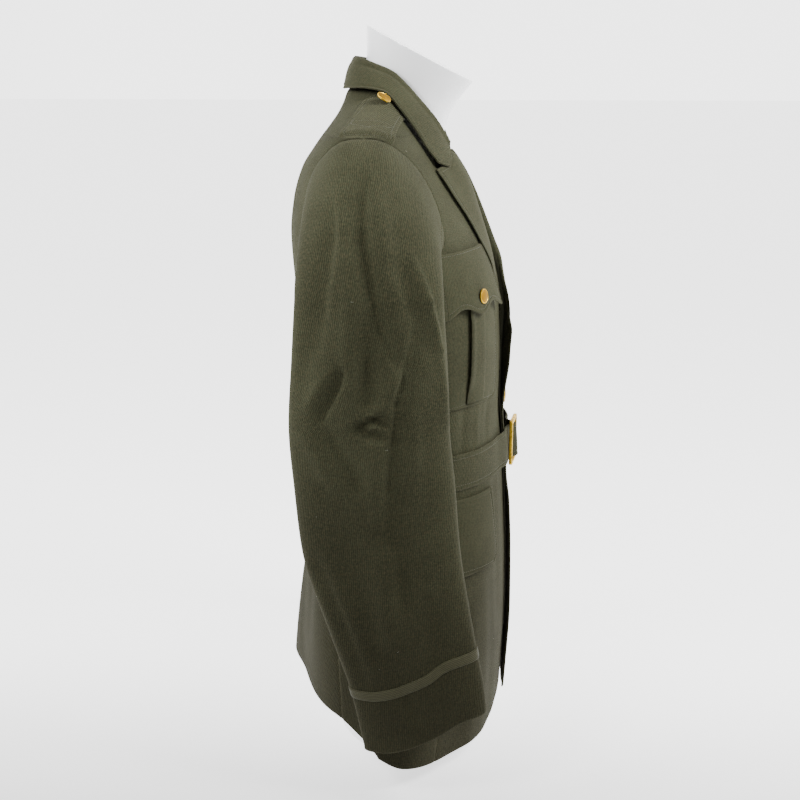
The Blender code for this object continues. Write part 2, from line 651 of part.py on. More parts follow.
def lapel_section(side, z, columns=4):
    """The lapel's section from under its roll, over it and out to its edge."""
    roll, edge = LAPEL.at("roll", z), LAPEL.at("edge", z)
    width = edge - roll
    full = ease((roll - 0.002) / 0.022)
    low, crest = ON_TOP, ON_TOP + LAPEL_ROLL_RISE * full
    if side > 0:
        low += LEFT_LAPEL_RISE * (0.5 + 0.5 * ease((z - 0.580) / 0.015)) * ease((0.665 - z) / 0.020)
        crest = ON_TOP + LEFT_LAPEL_ROLL + LEFT_LAPEL_FULL * ease((z - 0.600) / 0.04)
    tuck = min(LAPEL_TUCK, width * 0.2)
    section = [(roll - tuck * 0.45, 0.0008), (roll - tuck, crest * 0.55), (roll + tuck * 0.4, crest)]
    for k in range(1, columns + 1):
        share = k / columns
        belly = LAPEL_BELLY * math.sin(math.pi * share) * full
        out = low + (crest - low) * (1 - ease(share * 1.25)) + belly
        section.append((roll + tuck * 0.4 + (width - tuck * 0.4) * share, out))
    return [front_point(side, turn_at(x, z), z, out) for x, out in section]


LAPEL_ROWS = (0.551, 0.562, 0.575, 0.590, 0.606, 0.626, 0.648, 0.670, 0.692, 0.712, 0.7265)
LAPEL_TUCKED = 2            # columns of a lapel before the crest of its roll
# The gorge runs down from the roll to the notch, and the lapel's top edge on to its tip.
GORGE_ROLL, GORGE_NOTCH, LAPEL_TIP = 0.7660, 0.7420, 0.7375
GORGE_SHARE = 0.62          # of the lapel's width


def gorge_height(share):
    """Height of the lapel's top edge at a share of its width."""
    if share > GORGE_SHARE:
        return GORGE_NOTCH + (LAPEL_TIP - GORGE_NOTCH) * (share - GORGE_SHARE) / (1 - GORGE_SHARE)
    return GORGE_ROLL + (GORGE_NOTCH - GORGE_ROLL) * share / GORGE_SHARE


def build_lapel(side):
    rows = [lapel_section(side, z) for z in LAPEL_ROWS]
    last = len(rows[0]) - 1
    top = []
    for k in range(last + 1):
        share = max(k - LAPEL_TUCKED, 0) / (last - LAPEL_TUCKED)
        top.append(lapel_section(side, gorge_height(share))[k])
    middle = [low.lerp(high, 0.5) for low, high in zip(rows[-1], top)]
    sheet(side_name("lapel", side), rows + [middle, top], (0, 0.05, 0.55), probe=last - 1)


STRAP_OUT = ON_TOP + 0.0003
STRAP_TIP_X, STRAP_END_X = 0.083, 0.1945
STRAP_TIP_HALF, STRAP_GAIN = 0.022, 0.0085   # half its width at the tip, and its gain to the end
STRAP_BOW = 0.0085                           # of its end along the sleeve seam
STRAP_POINT = 0.16                           # share of its length that is rounded to the tip
STRAP_BUTTON_X = 0.106


def strap_y(x):
    """The strap's middle line, which lies a little to the back at the sleeve."""
    return 0.011 + (x - 0.100) * 0.125


def strap_half(share):
    half = STRAP_TIP_HALF + STRAP_GAIN * share
    return half * math.sqrt(1 - (max(STRAP_POINT - share, 0) / STRAP_POINT) ** 2 * 0.93)


def build_strap(side):
    """The shoulder strap, from the sleeve seam to its point under the collar."""
    rows = []
    for share in (0.0, 0.07, 0.16, 0.28, 0.42, 0.58, 0.76, 0.90, 1.0):
        x = STRAP_TIP_X + (STRAP_END_X - STRAP_TIP_X) * share
        row = []
        for across in (-1.0, -0.66, -0.33, 0.0, 0.33, 0.66, 1.0):
            bow = STRAP_BOW * across * across * share
            point, _ = shoulder_point(x - bow, strap_y(x) + across * strap_half(share), STRAP_OUT)
            row.append(Vector((side * point.x, point.y, point.z)))
        rows.append(row)
    sheet(side_name("shoulder_strap", side), rows, (side * 0.1, 0.0, 0.5))
    seat, normal = shoulder_point(STRAP_BUTTON_X, strap_y(STRAP_BUTTON_X), STRAP_OUT)
    button(side_name("strap_button", side), Vector((side * seat.x, seat.y, seat.z)),
           Vector((side * normal.x, normal.y, normal.z)), BUTTON_SMALL)


# ---------------------------------------------------------------- pockets
CHEST_FLAP_POINT, CHEST_FLAP_SCALLOP = 0.5735, 0.5835
FLAP_STAND = ON_TOP + 0.0012   # how far a flap's lower edge stands off the pocket
CHEST_POCKET_LOW = 0.460
PLEAT_HALF = 0.017
PLEAT_SHIFT = 0.008            # the pleat's middle lies this far towards the arm
CHEST_BUTTON_RISE = 0.019      # from the flap's middle point up to its button
CHEST_BUTTON_STAND = 0.0016    # the button's back off the flap


def on_front(side, x, z, distance, out):
    """A place on a pocket; on the left it clears the step where the front rises at its edge."""
    turn = turn_along(x, z, distance)
    return front_point(side, turn, z, out + left_step(side, ring_point(TORSO, 1, turn, z).x))


def on_chest(side, z, distance, out):
    """A place on a chest pocket, at a distance from its middle."""
    x = CHEST_POCKET_X - CHEST_POCKET_LEAN * (CHEST_SEAM_HEIGHT - z)
    return on_front(side, x, z, distance, out)


def build_chest_pocket(side):
    """Patch with a box pleat and a flap with three points."""
    half = CHEST_POCKET_HALF
    patch = []
    for z in (CHEST_POCKET_LOW, 0.465, 0.475, 0.492, 0.510, 0.548, 0.580, 0.600, 0.620,
              CHEST_SEAM_HEIGHT - 0.002):
        reach = half - CHEST_POCKET_CORNER * ease((0.480 - z) / 0.020)
        patch.append([on_chest(side, z, reach * across, ON_TOP)
                      for across in (-1, -0.75, -0.5, -0.25, 0, 0.25, 0.5, 0.75, 1)])
    sheet(side_name("chest_pocket", side), patch, (0, 0, 0.5))
    pleat = [[on_chest(side, z, PLEAT_SHIFT + PLEAT_HALF * across, 2 * ON_TOP) for across in (-1, 0, 1)]
             for z in (CHEST_POCKET_LOW + 0.005, 0.492, 0.510, 0.548, 0.566, 0.582)]
    sheet(side_name("pocket_pleat", side), pleat, (0, 0, 0.5))
    flap = []
    columns = (-1, -0.75, -0.5, -0.25, 0, 0.25, 0.5, 0.75, 1)
    for share in (0.0, 0.12, 0.45, 0.75, 1.0):
        row = []
        for across in columns:
            low = (CHEST_FLAP_POINT + CHEST_FLAP_SCALLOP) / 2
            low -= (CHEST_FLAP_SCALLOP - CHEST_FLAP_POINT) / 2 * math.cos(2 * math.pi * across)
            z = low + (CHEST_SEAM_HEIGHT - low) * (1 - share)
            row.append(on_chest(side, z, (half - 0.001 + 0.002 * share) * across,
                                2 * ON_TOP + FLAP_STAND * share))
        flap.append(row)
    sheet(side_name("chest_flap", side), flap, (0, 0, 0.5))
    z = CHEST_FLAP_POINT + CHEST_BUTTON_RISE
    share = (CHEST_SEAM_HEIGHT - z) / (CHEST_SEAM_HEIGHT - CHEST_FLAP_POINT)
    seat = on_chest(side, z, 0, 2 * ON_TOP + FLAP_STAND * share)
    button(side_name("chest_button", side), seat, body_normal(side, turn_at(abs(seat.x), z), z),
           BUTTON_SMALL, CHEST_BUTTON_STAND)


LOWER_FLAP_X, LOWER_FLAP_LENGTH = 0.096, 0.190   # its front edge, and its length round the body
LOWER_FLAP_CORNER, LOWER_FLAP_CORNER_SHARE = 0.022, 0.24
LOWER_BUTTON_RISE = 0.020                        # from the flap's edge up to its button
LOWER_BUTTON_SHIFT = 0.010                       # of the button behind the flap's middle
LOWER_FLAP_STAND = 0.002                         # of its edge off its seam


def lower_flap_out(share):
    """How far the flap stands off the front, from its seam to its lower edge."""
    return ON_TOP + 0.0004 + LOWER_FLAP_STAND * share


def build_lower_flap(side):
    """The plain flap of the lower pocket, which wraps to the side under the arm."""
    length, rows = LOWER_FLAP_LENGTH, []
    for share in (0.0, 0.10, 0.40, 0.70, 0.90, 1.0):
        z = LOWER_FLAP_TOP + (LOWER_FLAP_LOW - LOWER_FLAP_TOP) * share
        past = max(share - (1 - LOWER_FLAP_CORNER_SHARE), 0) / LOWER_FLAP_CORNER_SHARE
        corner = LOWER_FLAP_CORNER * (1 - math.sqrt(1 - past ** 2 * 0.97))
        row = []
        for k in range(10):
            distance = corner + (length - 2 * corner) * k / 9
            row.append(on_front(side, LOWER_FLAP_X, z, distance, lower_flap_out(share)))
        rows.append(row)
    sheet(side_name("lower_flap", side), rows, (0, 0, 0.3))
    z = LOWER_FLAP_LOW + LOWER_BUTTON_RISE
    turn = turn_along(LOWER_FLAP_X, z, length / 2 + LOWER_BUTTON_SHIFT)
    share = (LOWER_FLAP_TOP - z) / (LOWER_FLAP_TOP - LOWER_FLAP_LOW)
    seat = front_point(side, turn, z, lower_flap_out(share))
    button(side_name("lower_button", side), seat, body_normal(side, turn, z), BUTTON_SMALL)


# ---------------------------------------------------------------- front closing and belt
FRONT_BUTTON_HEIGHTS = (0.539, 0.489, 0.440)
FRONT_BUTTON_X = 0.006
FRONT_BUTTON_STAND = 0.0014   # its back off the highest cloth under it
FACET_SAG = 0.0004            # of a curved face between its rows
BUCKLE_HALF_WIDTH, BUCKLE_HALF_HEIGHT = 0.023, 0.0300
BUCKLE_BAR, BUCKLE_THICK = 0.0042, 0.0030
BUCKLE_CORNER, WINDOW_CORNER, BUCKLE_BEVEL = 0.005, 0.0012, 0.0005
BELT_OUT = ON_TOP + 0.0004                    # outer face of the belt, off the body
FRONT_STACK = ON_TOP + 0.0034                 # the two fronts that lie under it at the buckle
BUCKLE_FACE = BELT_OUT + FRONT_STACK + 0.0008 + BUCKLE_THICK
BELT_BRIDGE = BUCKLE_THICK + 0.0012 + ON_TOP  # its rise over the buckle's middle bar


def left_front_face(x, z):
    """A place on the left front's outer face, which is straight between two rows."""
    rows = SKIRT_ROWS + CHEST_ROWS
    low, high = max(row for row in rows if row <= z), min(row for row in rows if row > z)
    ends = [front_point(1, turn_at(x, row), row) for row in (low, high)]
    return ends[0].lerp(ends[1], (z - low) / (high - low))


def build_front_buttons():
    for number, z in enumerate(FRONT_BUTTON_HEIGHTS, 1):
        around = [left_front_face(FRONT_BUTTON_X + across * BUTTON_LARGE, z + up * BUTTON_LARGE)
                  for across, up in ((-1, 0), (-0.5, 0), (0, 0), (0.5, 0), (1, 0), (0, -1), (0, 1))]
        seat = around[2] - Vector((0, FACET_SAG, 0))
        rise = seat.y - min(point.y for point in around) + FRONT_BUTTON_STAND
        button("front_button_%d" % number, seat, Vector((0, -1, 0)), BUTTON_LARGE, rise)


def belt_point(turn, z, lap):
    """A place on the belt; turns run from 0 at the buckle round the wearer's right side."""
    whole = turn % 360
    side, own = (-1, whole) if whole <= 180 else (1, 360 - whole)
    x = ring_point(TORSO, side, own, z).x
    out = BELT_OUT + FRONT_STACK * ease((x + 0.070) / 0.034) * ease((0.095 - x) / 0.030)
    if lap:
        out += ON_TOP * ease((x - 0.027) / 0.014)
    bridge = math.exp(-(x / 0.0095) ** 2) if lap or turn < 20 else 0.0
    return body_point(side, own, z, out + bridge * BELT_BRIDGE)


def build_belt():
    """One band: it leaves the buckle, goes round the back and its end lies past the buckle."""
    turns = [-20, -16, -12.5, -9.5, -7.5, -5.5, -3.8, -2.2, -1, 0, 1, 2.2, 3.8, 5.5, 7.5, 9.5, 12.5]
    turns += [16, 21, 27, 34] + [41 + 7 * k for k in range(39)] + [314, 321, 328, 334, 339, 342.5]
    rows = []
    for z in (BELT_LOW, (BELT_LOW + BELT_HIGH) / 2, BELT_HIGH):
        rows.append([belt_point(turn, z, turn < 0) for turn in turns])
    sheet("belt", rows, (0, 0, 0.38))


def build_buckle():
    """Open rectangular frame with a middle bar, which the belt passes over."""
    middle = (BELT_LOW + BELT_HIGH) / 2
    face = body_point(-1, 0.0, middle, BUCKLE_FACE).y
    curve = bpy.data.curves.new("buckle", "CURVE")
    curve.dimensions = "2D"
    curve.fill_mode = "BOTH"
    curve.extrude = BUCKLE_THICK / 2 - BUCKLE_BEVEL
    curve.bevel_depth = BUCKLE_BEVEL
    curve.bevel_resolution = 0
    inner = BUCKLE_HALF_WIDTH - BUCKLE_BAR
    outlines = [(-BUCKLE_HALF_WIDTH, BUCKLE_HALF_WIDTH, BUCKLE_HALF_HEIGHT, BUCKLE_CORNER)]
    for sign in (-1, 1):
        ends = sorted((sign * BUCKLE_BAR / 2, sign * inner))
        outlines.append((ends[0], ends[1], BUCKLE_HALF_HEIGHT - BUCKLE_BAR, WINDOW_CORNER))
    for left, right, half, radius in outlines:
        corners = []
        for corner_x, corner_y, start in ((right, half, 0), (left, half, 90), (left, -half, 180),
                                          (right, -half, 270)):
            for turn in (0, 30, 60, 90) if radius > WINDOW_CORNER else (0, 90):
                angle = math.radians(start + turn)
                corners.append((corner_x - math.copysign(radius, corner_x - (left + right) / 2)
                                + radius * math.cos(angle),
                                corner_y - math.copysign(radius, corner_y)
                                + radius * math.sin(angle)))
        spline = curve.splines.new("POLY")
        spline.points.add(len(corners) - 1)
        for point, (x, y) in zip(spline.points, corners):
            point.co = (x, y, 0, 1)
        spline.use_cyclic_u = True
    outline = bpy.data.objects.new("buckle_outline", curve)
    coat.objects.link(outline)
    bpy.context.view_layer.update()
    mesh = bpy.data.meshes.new_from_object(outline.evaluated_get(
        bpy.context.evaluated_depsgraph_get()))
    bpy.data.objects.remove(outline, do_unlink=True)
    work = bmesh.new()
    work.from_mesh(mesh)
    bmesh.ops.remove_doubles(work, verts=work.verts, dist=0.00001)
    bmesh.ops.recalc_face_normals(work, faces=work.faces)
    work.to_mesh(mesh)
    work.free()
    mesh.materials.clear()
    piece = add_object("buckle", mesh, "gilt")
    lean = math.atan2(body_point(-1, 0.0, BELT_HIGH).y - body_point(-1, 0.0, BELT_LOW).y,
                      BELT_HIGH - BELT_LOW)
    piece.rotation_euler = (math.radians(90) - lean, 0, 0)
    piece.location = (0, face + BUCKLE_THICK / 2, middle)


# ---------------------------------------------------------------- dress form
FORM_COLUMNS = 24
HIPS_TOP = 0.33             # above it the form follows the coat
FORM_CLEAR = 0.0012         # inside the cloth at the shoulders
CHEST_CLEAR, WAIST_CLEAR = 0.0043, 0.004   # and what is added below the shoulders and at the waist


def form_ring(z):
    """One cross-section of the form: the coat's own above the hips, drawn in."""
    ring = []
    clear = (FORM_CLEAR + CHEST_CLEAR * ease((0.770 - z) / 0.090)
             + WAIST_CLEAR * ease((0.42 - z) / 0.06))
    for k in range(FORM_COLUMNS):
        around = 360.0 * k / FORM_COLUMNS
        side, turn = (1, around) if around <= 180 else (-1, 360 - around)
        if z <= HIPS_TOP:
            ring.append(ring_point(HIPS, side, turn, z))
            continue
        point = ring_point(TORSO, side, turn, z)
        normal = body_normal(side, min(turn, 179.5), z)
        normal.z = 0
        flat = normal.length
        ring.append(point - normal / max(flat, 1e-6) * (CLOTH + clear) / max(flat, 0.35))
    return ring


def closed_loft(name, rings, finish):
    work = bmesh.new()
    grid = [[work.verts.new(point) for point in ring] for ring in rings]
    for low, high in zip(grid, grid[1:]):
        for k in range(len(low)):
            following = (k + 1) % len(low)
            work.faces.new((low[k], low[following], high[following], high[k]))
    work.faces.new(list(reversed(grid[0])))
    work.faces.new(grid[-1])
    bmesh.ops.recalc_face_normals(work, faces=work.faces)
    mesh = bpy.data.meshes.new(name)
    work.to_mesh(mesh)
    work.free()
    return add_object(name, mesh, finish)


def build_form():
    heights = [0.0, 0.006, 0.06, 0.13, 0.20, 0.27, HIPS_TOP, 0.38, 0.43, 0.48, 0.53, 0.58, 0.62, 0.66]
    heights += armhole_rows(90) + list(SHOULDER_ROWS[:3])
    trunk = closed_loft("dress_form", [form_ring(z) for z in heights], "form_plastic")
    around = [2 * math.pi * k / FORM_COLUMNS for k in range(FORM_COLUMNS)]
    rings = []
    for row in NECK_ROWS:
        values = dict(zip(NECK_COLUMNS, row))
        tilt = math.radians(values["tilt"])
        ahead = Vector((0, -math.cos(tilt), -math.sin(tilt)))
        middle = Vector((0, values["centre_y"], values["centre_z"]))
        rings.append([middle + ahead * values["half_depth"] * math.cos(angle)
                      + Vector((values["half_width"], 0, 0)) * math.sin(angle) for angle in around])
    neck = closed_loft("form_neck", rings, "form_plastic")
    neck.hide_render = True
    neck.display_type = "WIRE"
    join = trunk.modifiers.new("Neck", "BOOLEAN")
    join.operation = "UNION"
    join.object = neck


def main():
    clear_scene()
    material("olive_cloth", (0.075, 0.070, 0.040), 0.95)
    material("braid", (0.105, 0.095, 0.045), 0.85)
    material("gilt", (0.80, 0.56, 0.20), 0.28, 1.0)
    material("form_plastic", (0.86, 0.87, 0.87), 0.30)
    build_body()
    for side in (1, -1):
        build_sleeve(side)
        build_lapel(side)
        build_strap(side)
        build_chest_pocket(side)
        build_lower_flap(side)
    build_collar()
    build_front_buttons()
    build_belt()
    build_buckle()
    build_form()


main()
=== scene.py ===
"""An officer's belted service coat with empty sleeves, dressed, on a limbless dress form.

Units are metres, +Z is up, the coat faces -Y and the wearer's left is +X.

A place on the body of the coat is given by a turn, in degrees, and a height. The turn
is 0 at the middle of the front, 90 at the side and 180 at the middle of the back, and
it is counted the same way on both sides of the coat.
"""

from __future__ import annotations

import logging
import math
import random
from dataclasses import dataclass, field
from enum import Enum
from typing import Callable, Sequence

import bpy
import numpy as np
from mathutils import Matrix, Vector


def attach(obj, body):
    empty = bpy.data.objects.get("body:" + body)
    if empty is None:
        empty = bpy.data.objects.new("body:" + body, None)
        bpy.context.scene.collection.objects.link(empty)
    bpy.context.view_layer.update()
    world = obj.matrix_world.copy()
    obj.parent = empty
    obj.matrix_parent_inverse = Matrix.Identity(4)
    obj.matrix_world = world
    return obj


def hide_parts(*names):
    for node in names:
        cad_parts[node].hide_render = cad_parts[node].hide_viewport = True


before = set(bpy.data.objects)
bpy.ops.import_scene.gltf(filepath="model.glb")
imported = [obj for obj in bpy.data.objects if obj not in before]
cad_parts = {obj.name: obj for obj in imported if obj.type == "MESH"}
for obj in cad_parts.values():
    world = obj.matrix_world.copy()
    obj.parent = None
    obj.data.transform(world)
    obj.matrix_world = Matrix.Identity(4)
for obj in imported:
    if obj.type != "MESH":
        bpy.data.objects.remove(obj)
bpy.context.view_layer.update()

LOG = logging.getLogger("service_coat")
Array = np.ndarray

# ---------------------------------------------------------------- driving sizes
CLOTH = 0.002               # wool cloth with its interlining
BRAID_CLOTH = 0.001         # mohair cuff braid
SEAM_GAP = 0.00025          # between two edges sewn together
RIDGE_GAP = 0.05            # degrees from the shoulder seam to each side
LAYER_GAP = 0.0005          # between a piece and the one that it lies on
ON_TOP = CLOTH + LAYER_GAP  # outer face of a piece that lies on another
STITCH_INSET = 0.006        # from a turned edge to its row of stitches

SHOULDER_TIP = 0.780        # height of the outer end of the shoulder
NECK_TOP_ROW = 0.8305       # height of the neck edge of the fronts and backs
BREAK_HEIGHT = 0.548        # where the lapels begin to turn back
ARMHOLE_HEIGHT = 0.705
ARMHOLE_RISE = 0.075
ARMHOLE_FRONT = 45.0        # degrees forward of the side
ARMHOLE_BACK = 41.0         # degrees behind the side
ARMHOLE_SQUARENESS = 2.6
SLEEVE_SEAM = 105.0         # turn of a sleeve's two seams round the arm

BELT_LOW, BELT_HIGH = 0.358, 0.403
BUTTON_LARGE, BUTTON_SMALL = 0.0115, 0.009   # radii
STRAP_BUTTON_LEAN = 0.50    # forward, against its own normal
STRAP_BUTTON_RISE = 0.0052  # of its back off the strap, on its thread
WEAVE_MAP, EDGE_MAP = "weave", "edge"        # UV maps: metres over the cloth, metres from its edge


class Side(Enum):
    """The wearer's left or right, as the sign of x."""

    LEFT = 1
    RIGHT = -1

    def named(self, base: str) -> str:
        """A node's name on this side."""
        return base + ("_left" if self is Side.LEFT else "_right")


class Edge(Enum):
    """How an edge of a cloth piece is made."""

    RAW = "raw"
    SEAM = "seam"
    TURNED = "turned"
    STITCHED = "stitched"

    @property
    def offsets(self) -> tuple[float, ...]:
        """Distances from the edge where the cloth needs points to show its relief."""
        return {Edge.RAW: (0.0,),
                Edge.SEAM: (0.0, 0.0009, 0.0020, 0.0036),
                Edge.TURNED: (0.0, 0.0007, 0.0016, 0.0032),
                Edge.STITCHED: (0.0, 0.0007, 0.0016, 0.0030, 0.0045, 0.0053, 0.0060, 0.0067,
                                0.0075, 0.0092)}[self]

    def relief(self, distance: Array) -> Array:
        """Rise of the cloth at a distance from this edge.

        Args:
            distance: metres from the edge.

        Returns:
            How far the outer face stands out there.
        """
        if self is Edge.RAW:
            return np.zeros_like(distance)
        if self is Edge.SEAM:
            return -0.0007 * np.exp(-(distance / 0.0016) ** 2)
        rise = -0.0005 * np.exp(-(distance / 0.0009) ** 2)
        if self is Edge.STITCHED:
            rise += 0.00025 * np.exp(-((distance - 0.0030) / 0.0018) ** 2)
            rise -= 0.00045 * np.exp(-((distance - STITCH_INSET) / 0.0010) ** 2)
        return rise


# ---------------------------------------------------------------- numbers
def ease(value: Array) -> Array:
    """0 below 0, 1 above 1 and a smooth step between."""
    value = np.clip(value, 0.0, 1.0)
    return value * value * (3 - 2 * value)


def signed_power(value: Array, power: Array) -> Array:
    """A power that keeps the sign of its base."""
    return np.copysign(np.abs(value) ** power, value)


def places(x: Array, y: Array, z: Array) -> Array:
    """Points from their three coordinates, broadcast against each other."""
    return np.stack(np.broadcast_arrays(x, y, z), axis=-1).astype(float)


def unit(vectors: Array) -> Array:
    """Vectors scaled to length 1."""
    return vectors / np.maximum(np.linalg.norm(vectors, axis=-1, keepdims=True), 1e-9)


def run_lengths(points: Array, axis: int) -> Array:
    """Distance travelled along one axis of a grid of points.

    Args:
        points: a grid of points, rows by columns by 3.
        axis: 0 to travel up the columns, 1 to travel along the rows.

    Returns:
        A grid of distances, 0 at the start of each line.
    """
    steps = np.linalg.norm(np.diff(points, axis=axis), axis=-1)
    start = np.zeros_like(np.take(steps, [0], axis=axis))
    return np.concatenate([start, np.cumsum(steps, axis=axis)], axis=axis)


def spread(length: float, step: float, first: Edge, last: Edge) -> Array:
    """Shares of a length, close together where its two edges have relief.

    Args:
        length: the length in metres.
        step: the usual distance between points.
        first: how the edge at the start is made.
        last: how the edge at the end is made.

    Returns:
        Rising shares from 0 to 1.
    """
    head, tail = np.array(first.offsets), length - np.array(last.offsets)
    room = tail.min() - head.max()
    count = max(int(math.ceil(room / step)), 1)
    middle = np.linspace(head.max(), tail.min(), count + 1)
    return np.unique(np.concatenate([head, middle, tail])) / length


def smooth_line(points: Array, count: int) -> Array:
    """Points resampled along a smooth curve through a line's own points.

    Args:
        points: lines of a few points each, lines by points by 3.
        count: how many points each new line has.

    Returns:
        Lines of that many points.
    """
    knots = run_lengths(points, 1).mean(axis=0)
    slopes = np.gradient(points, knots, axis=1)
    where = np.linspace(0.0, knots[-1], count)
    i = np.clip(np.searchsorted(knots, where, side="right") - 1, 0, len(knots) - 2)
    step = (knots[i + 1] - knots[i])[None, :, None]
    t = ((where - knots[i]) / (knots[i + 1] - knots[i]))[None, :, None]
    return (points[:, i] * (1 + 2 * t) * (1 - t) ** 2 + points[:, i + 1] * t * t * (3 - 2 * t)
            + step * slopes[:, i] * t * (1 - t) ** 2 + step * slopes[:, i + 1] * t * t * (t - 1))


class Table:
    """Named columns over a place, read smoothly between the rows without overshoot."""

    def __init__(self, columns: Sequence[str], rows: Sequence[Sequence[float]]) -> None:
        """Reads the rows, whose first column is the place."""
        values = np.array(rows, dtype=float)
        self.place = values[:, 0]
        self.columns = {name: values[:, i] for i, name in enumerate(columns)}
        self.slopes = {name: self._slopes(column) for name, column in self.columns.items()}

    def _slopes(self, column: Array) -> Array:
        """Slope at each row, 0 where the column turns back."""
        steps = np.diff(self.place)
        rates = np.diff(column) / steps
        slopes = np.zeros(len(column))
        slopes[0], slopes[-1] = rates[0], rates[-1]
        for i in range(1, len(column) - 1):
            if rates[i - 1] * rates[i] > 0:
                before, after = 2 * steps[i] + steps[i - 1], steps[i] + 2 * steps[i - 1]
                slopes[i] = (before + after) / (before / rates[i - 1] + after / rates[i])
        return slopes

    def at(self, name: str, place: Array) -> Array:
        """Value of a column at any places.

        Args:
            name: the column.
            place: where to read it; the ends are held beyond the table.

        Returns:
            The values, in the shape of the places.
        """
        column, slopes = self.columns[name], self.slopes[name]
        where = np.clip(np.asarray(place, dtype=float), self.place[0], self.place[-1])
        i = np.clip(np.searchsorted(self.place, where, side="right") - 1, 0, len(self.place) - 2)
        step = self.place[i + 1] - self.place[i]
        t = (where - self.place[i]) / step
        return (column[i] * (1 + 2 * t) * (1 - t) ** 2 + column[i + 1] * t * t * (3 - 2 * t)
                + step * slopes[i] * t * (1 - t) ** 2 + step * slopes[i + 1] * t * t * (t - 1))


@dataclass(frozen=True)
class Fold:
    """A soft trough or ridge that runs straight between two places on the cloth."""

    across_0: float
    z_0: float
    across_1: float
    z_1: float
    width: float
    depth: float     # below 0 for a ridge

    def at(self, across: Array, z: Array, scale: float, shift: float = 0.0) -> Array:
        """Depth of the fold at places on the cloth.

        Args:
            across: place across the cloth, in the fold's own units.
            z: height.
            scale: metres for one unit across.
            shift: how far the fold is moved up.

        Returns:
            The depth there.
        """
        start = np.array([self.across_0 * scale, self.z_0 + shift])
        run = np.array([self.across_1 * scale, self.z_1 + shift]) - start
        here_x, here_z = across * scale - start[0], z - start[1]
        along = np.clip((here_x * run[0] + here_z * run[1]) / (run @ run), 0.0, 1.0)
        away = np.hypot(here_x - along * run[0], here_z - along * run[1])
        swell = 0.55 + 0.45 * np.sin(math.pi * np.clip(along, 0.04, 0.96))
        return self.depth * swell * np.exp(-(away / self.width) ** 2)


# ---------------------------------------------------------------- shape of the coat's body
TORSO_COLUMNS = ("z", "half_width", "front", "back", "centre", "front_squareness", "back_squareness")
TORSO = Table(TORSO_COLUMNS, (
    (0.000, 0.2400, -0.1365, 0.1480, 0.006, 1.95, 1.50),
    (0.080, 0.2330, -0.1400, 0.1420, 0.006, 2.10, 1.60),
    (0.160, 0.2240, -0.1425, 0.1330, 0.005, 2.25, 1.90),
    (0.240, 0.2110, -0.1415, 0.1210, 0.004, 2.3, 2.20),
    (0.310, 0.1920, -0.1385, 0.1050, 0.002, 2.3, 2.30),
    (0.380, 0.1750, -0.1350, 0.0900, 0.000, 2.3, 2.30),
    (0.440, 0.1750, -0.1300, 0.0950, 0.000, 2.3, 2.30),
    (0.500, 0.1840, -0.1305, 0.1100, 0.002, 2.3, 2.30),
    (0.560, 0.1940, -0.1280, 0.1230, 0.005, 2.3, 2.30),
    (0.610, 0.1990, -0.1195, 0.1300, 0.008, 2.3, 2.30),
    (0.660, 0.2030, -0.1010, 0.1325, 0.013, 2.3, 2.30),
    (0.700, 0.2050, -0.0825, 0.1280, 0.018, 2.3, 2.30),
    (0.740, 0.2055, -0.0610, 0.1155, 0.023, 2.3, 2.30),
    (0.762, 0.2055, -0.0450, 0.1010, 0.024, 2.3, 2.30),
    (0.778, 0.2020, -0.0315, 0.0890, 0.023, 2.3, 2.30),
    (0.784, 0.1890, -0.0270, 0.0845, 0.022, 2.3, 2.30),
    (0.790, 0.1720, -0.0225, 0.0805, 0.020, 2.3, 2.30),
    (0.802, 0.1390, -0.0135, 0.0730, 0.017, 2.3, 2.30),
    (0.814, 0.1060, -0.0050, 0.0680, 0.013, 2.3, 2.30),
    (0.826, 0.0730, 0.0000, 0.0645, 0.010, 2.3, 2.30),
    (0.842, 0.0300, 0.0060, 0.0500, 0.010, 2.3, 2.30)))

HEM = Table(("turn", "height"), (
    (-20.0, 0.044), (0.0, 0.040), (30.0, 0.026), (60.0, 0.022), (78.0, 0.027), (90.0, 0.040),
    (105.0, 0.061), (120.0, 0.077), (150.0, 0.082), (180.0, 0.081)))

# Height of a sleeve's cuff edge, from its back edge at 0 to its front edge at 1.
CUFF = Table(("fore", "height"), (
    (0.00, 0.0665), (0.16, 0.0676), (0.36, 0.0752), (0.61, 0.0945), (0.81, 0.1130), (1.00, 0.1210)))

# Soft upright folds of the skirt: how far each stands out at the hem.
FLUTES = Table(("turn", "stand"), (
    (-20.0, 0.000), (14.0, 0.000), (34.0, 0.005), (55.0, -0.003), (78.0, 0.004),
    (103.0, -0.003), (128.0, 0.005), (152.0, -0.004), (170.0, 0.003), (180.0, 0.000)))

# How far the free edge of the left front curls away from the right front.
CURL = Table(("z", "lift"), (
    (0.020, 0.003), (0.160, 0.005), (0.300, 0.005), (0.345, 0.002), (0.410, 0.002),
    (0.445, 0.004), (0.500, 0.010), (0.530, 0.0104), (0.552, 0.0064), (0.580, 0.0066),
    (0.610, 0.0050), (0.700, 0.000), (0.780, 0.000)))

# The lapel's two edges, as distances from the middle of the coat on its own side.
LAPEL = Table(("z", "roll", "edge"), (
    (0.548, -0.0300, -0.0260), (0.580, -0.0130, 0.0100), (0.602, 0.0000, 0.0360),
    (0.640, 0.0140, 0.0620), (0.680, 0.0260, 0.0860), (0.710, 0.0335, 0.1060),
    (0.735, 0.0400, 0.1160), (0.750, 0.0430, 0.1160), (0.772, 0.0470, 0.1160),
    (0.800, 0.0540, 0.1160), (0.8235, 0.0640, 0.1160)))

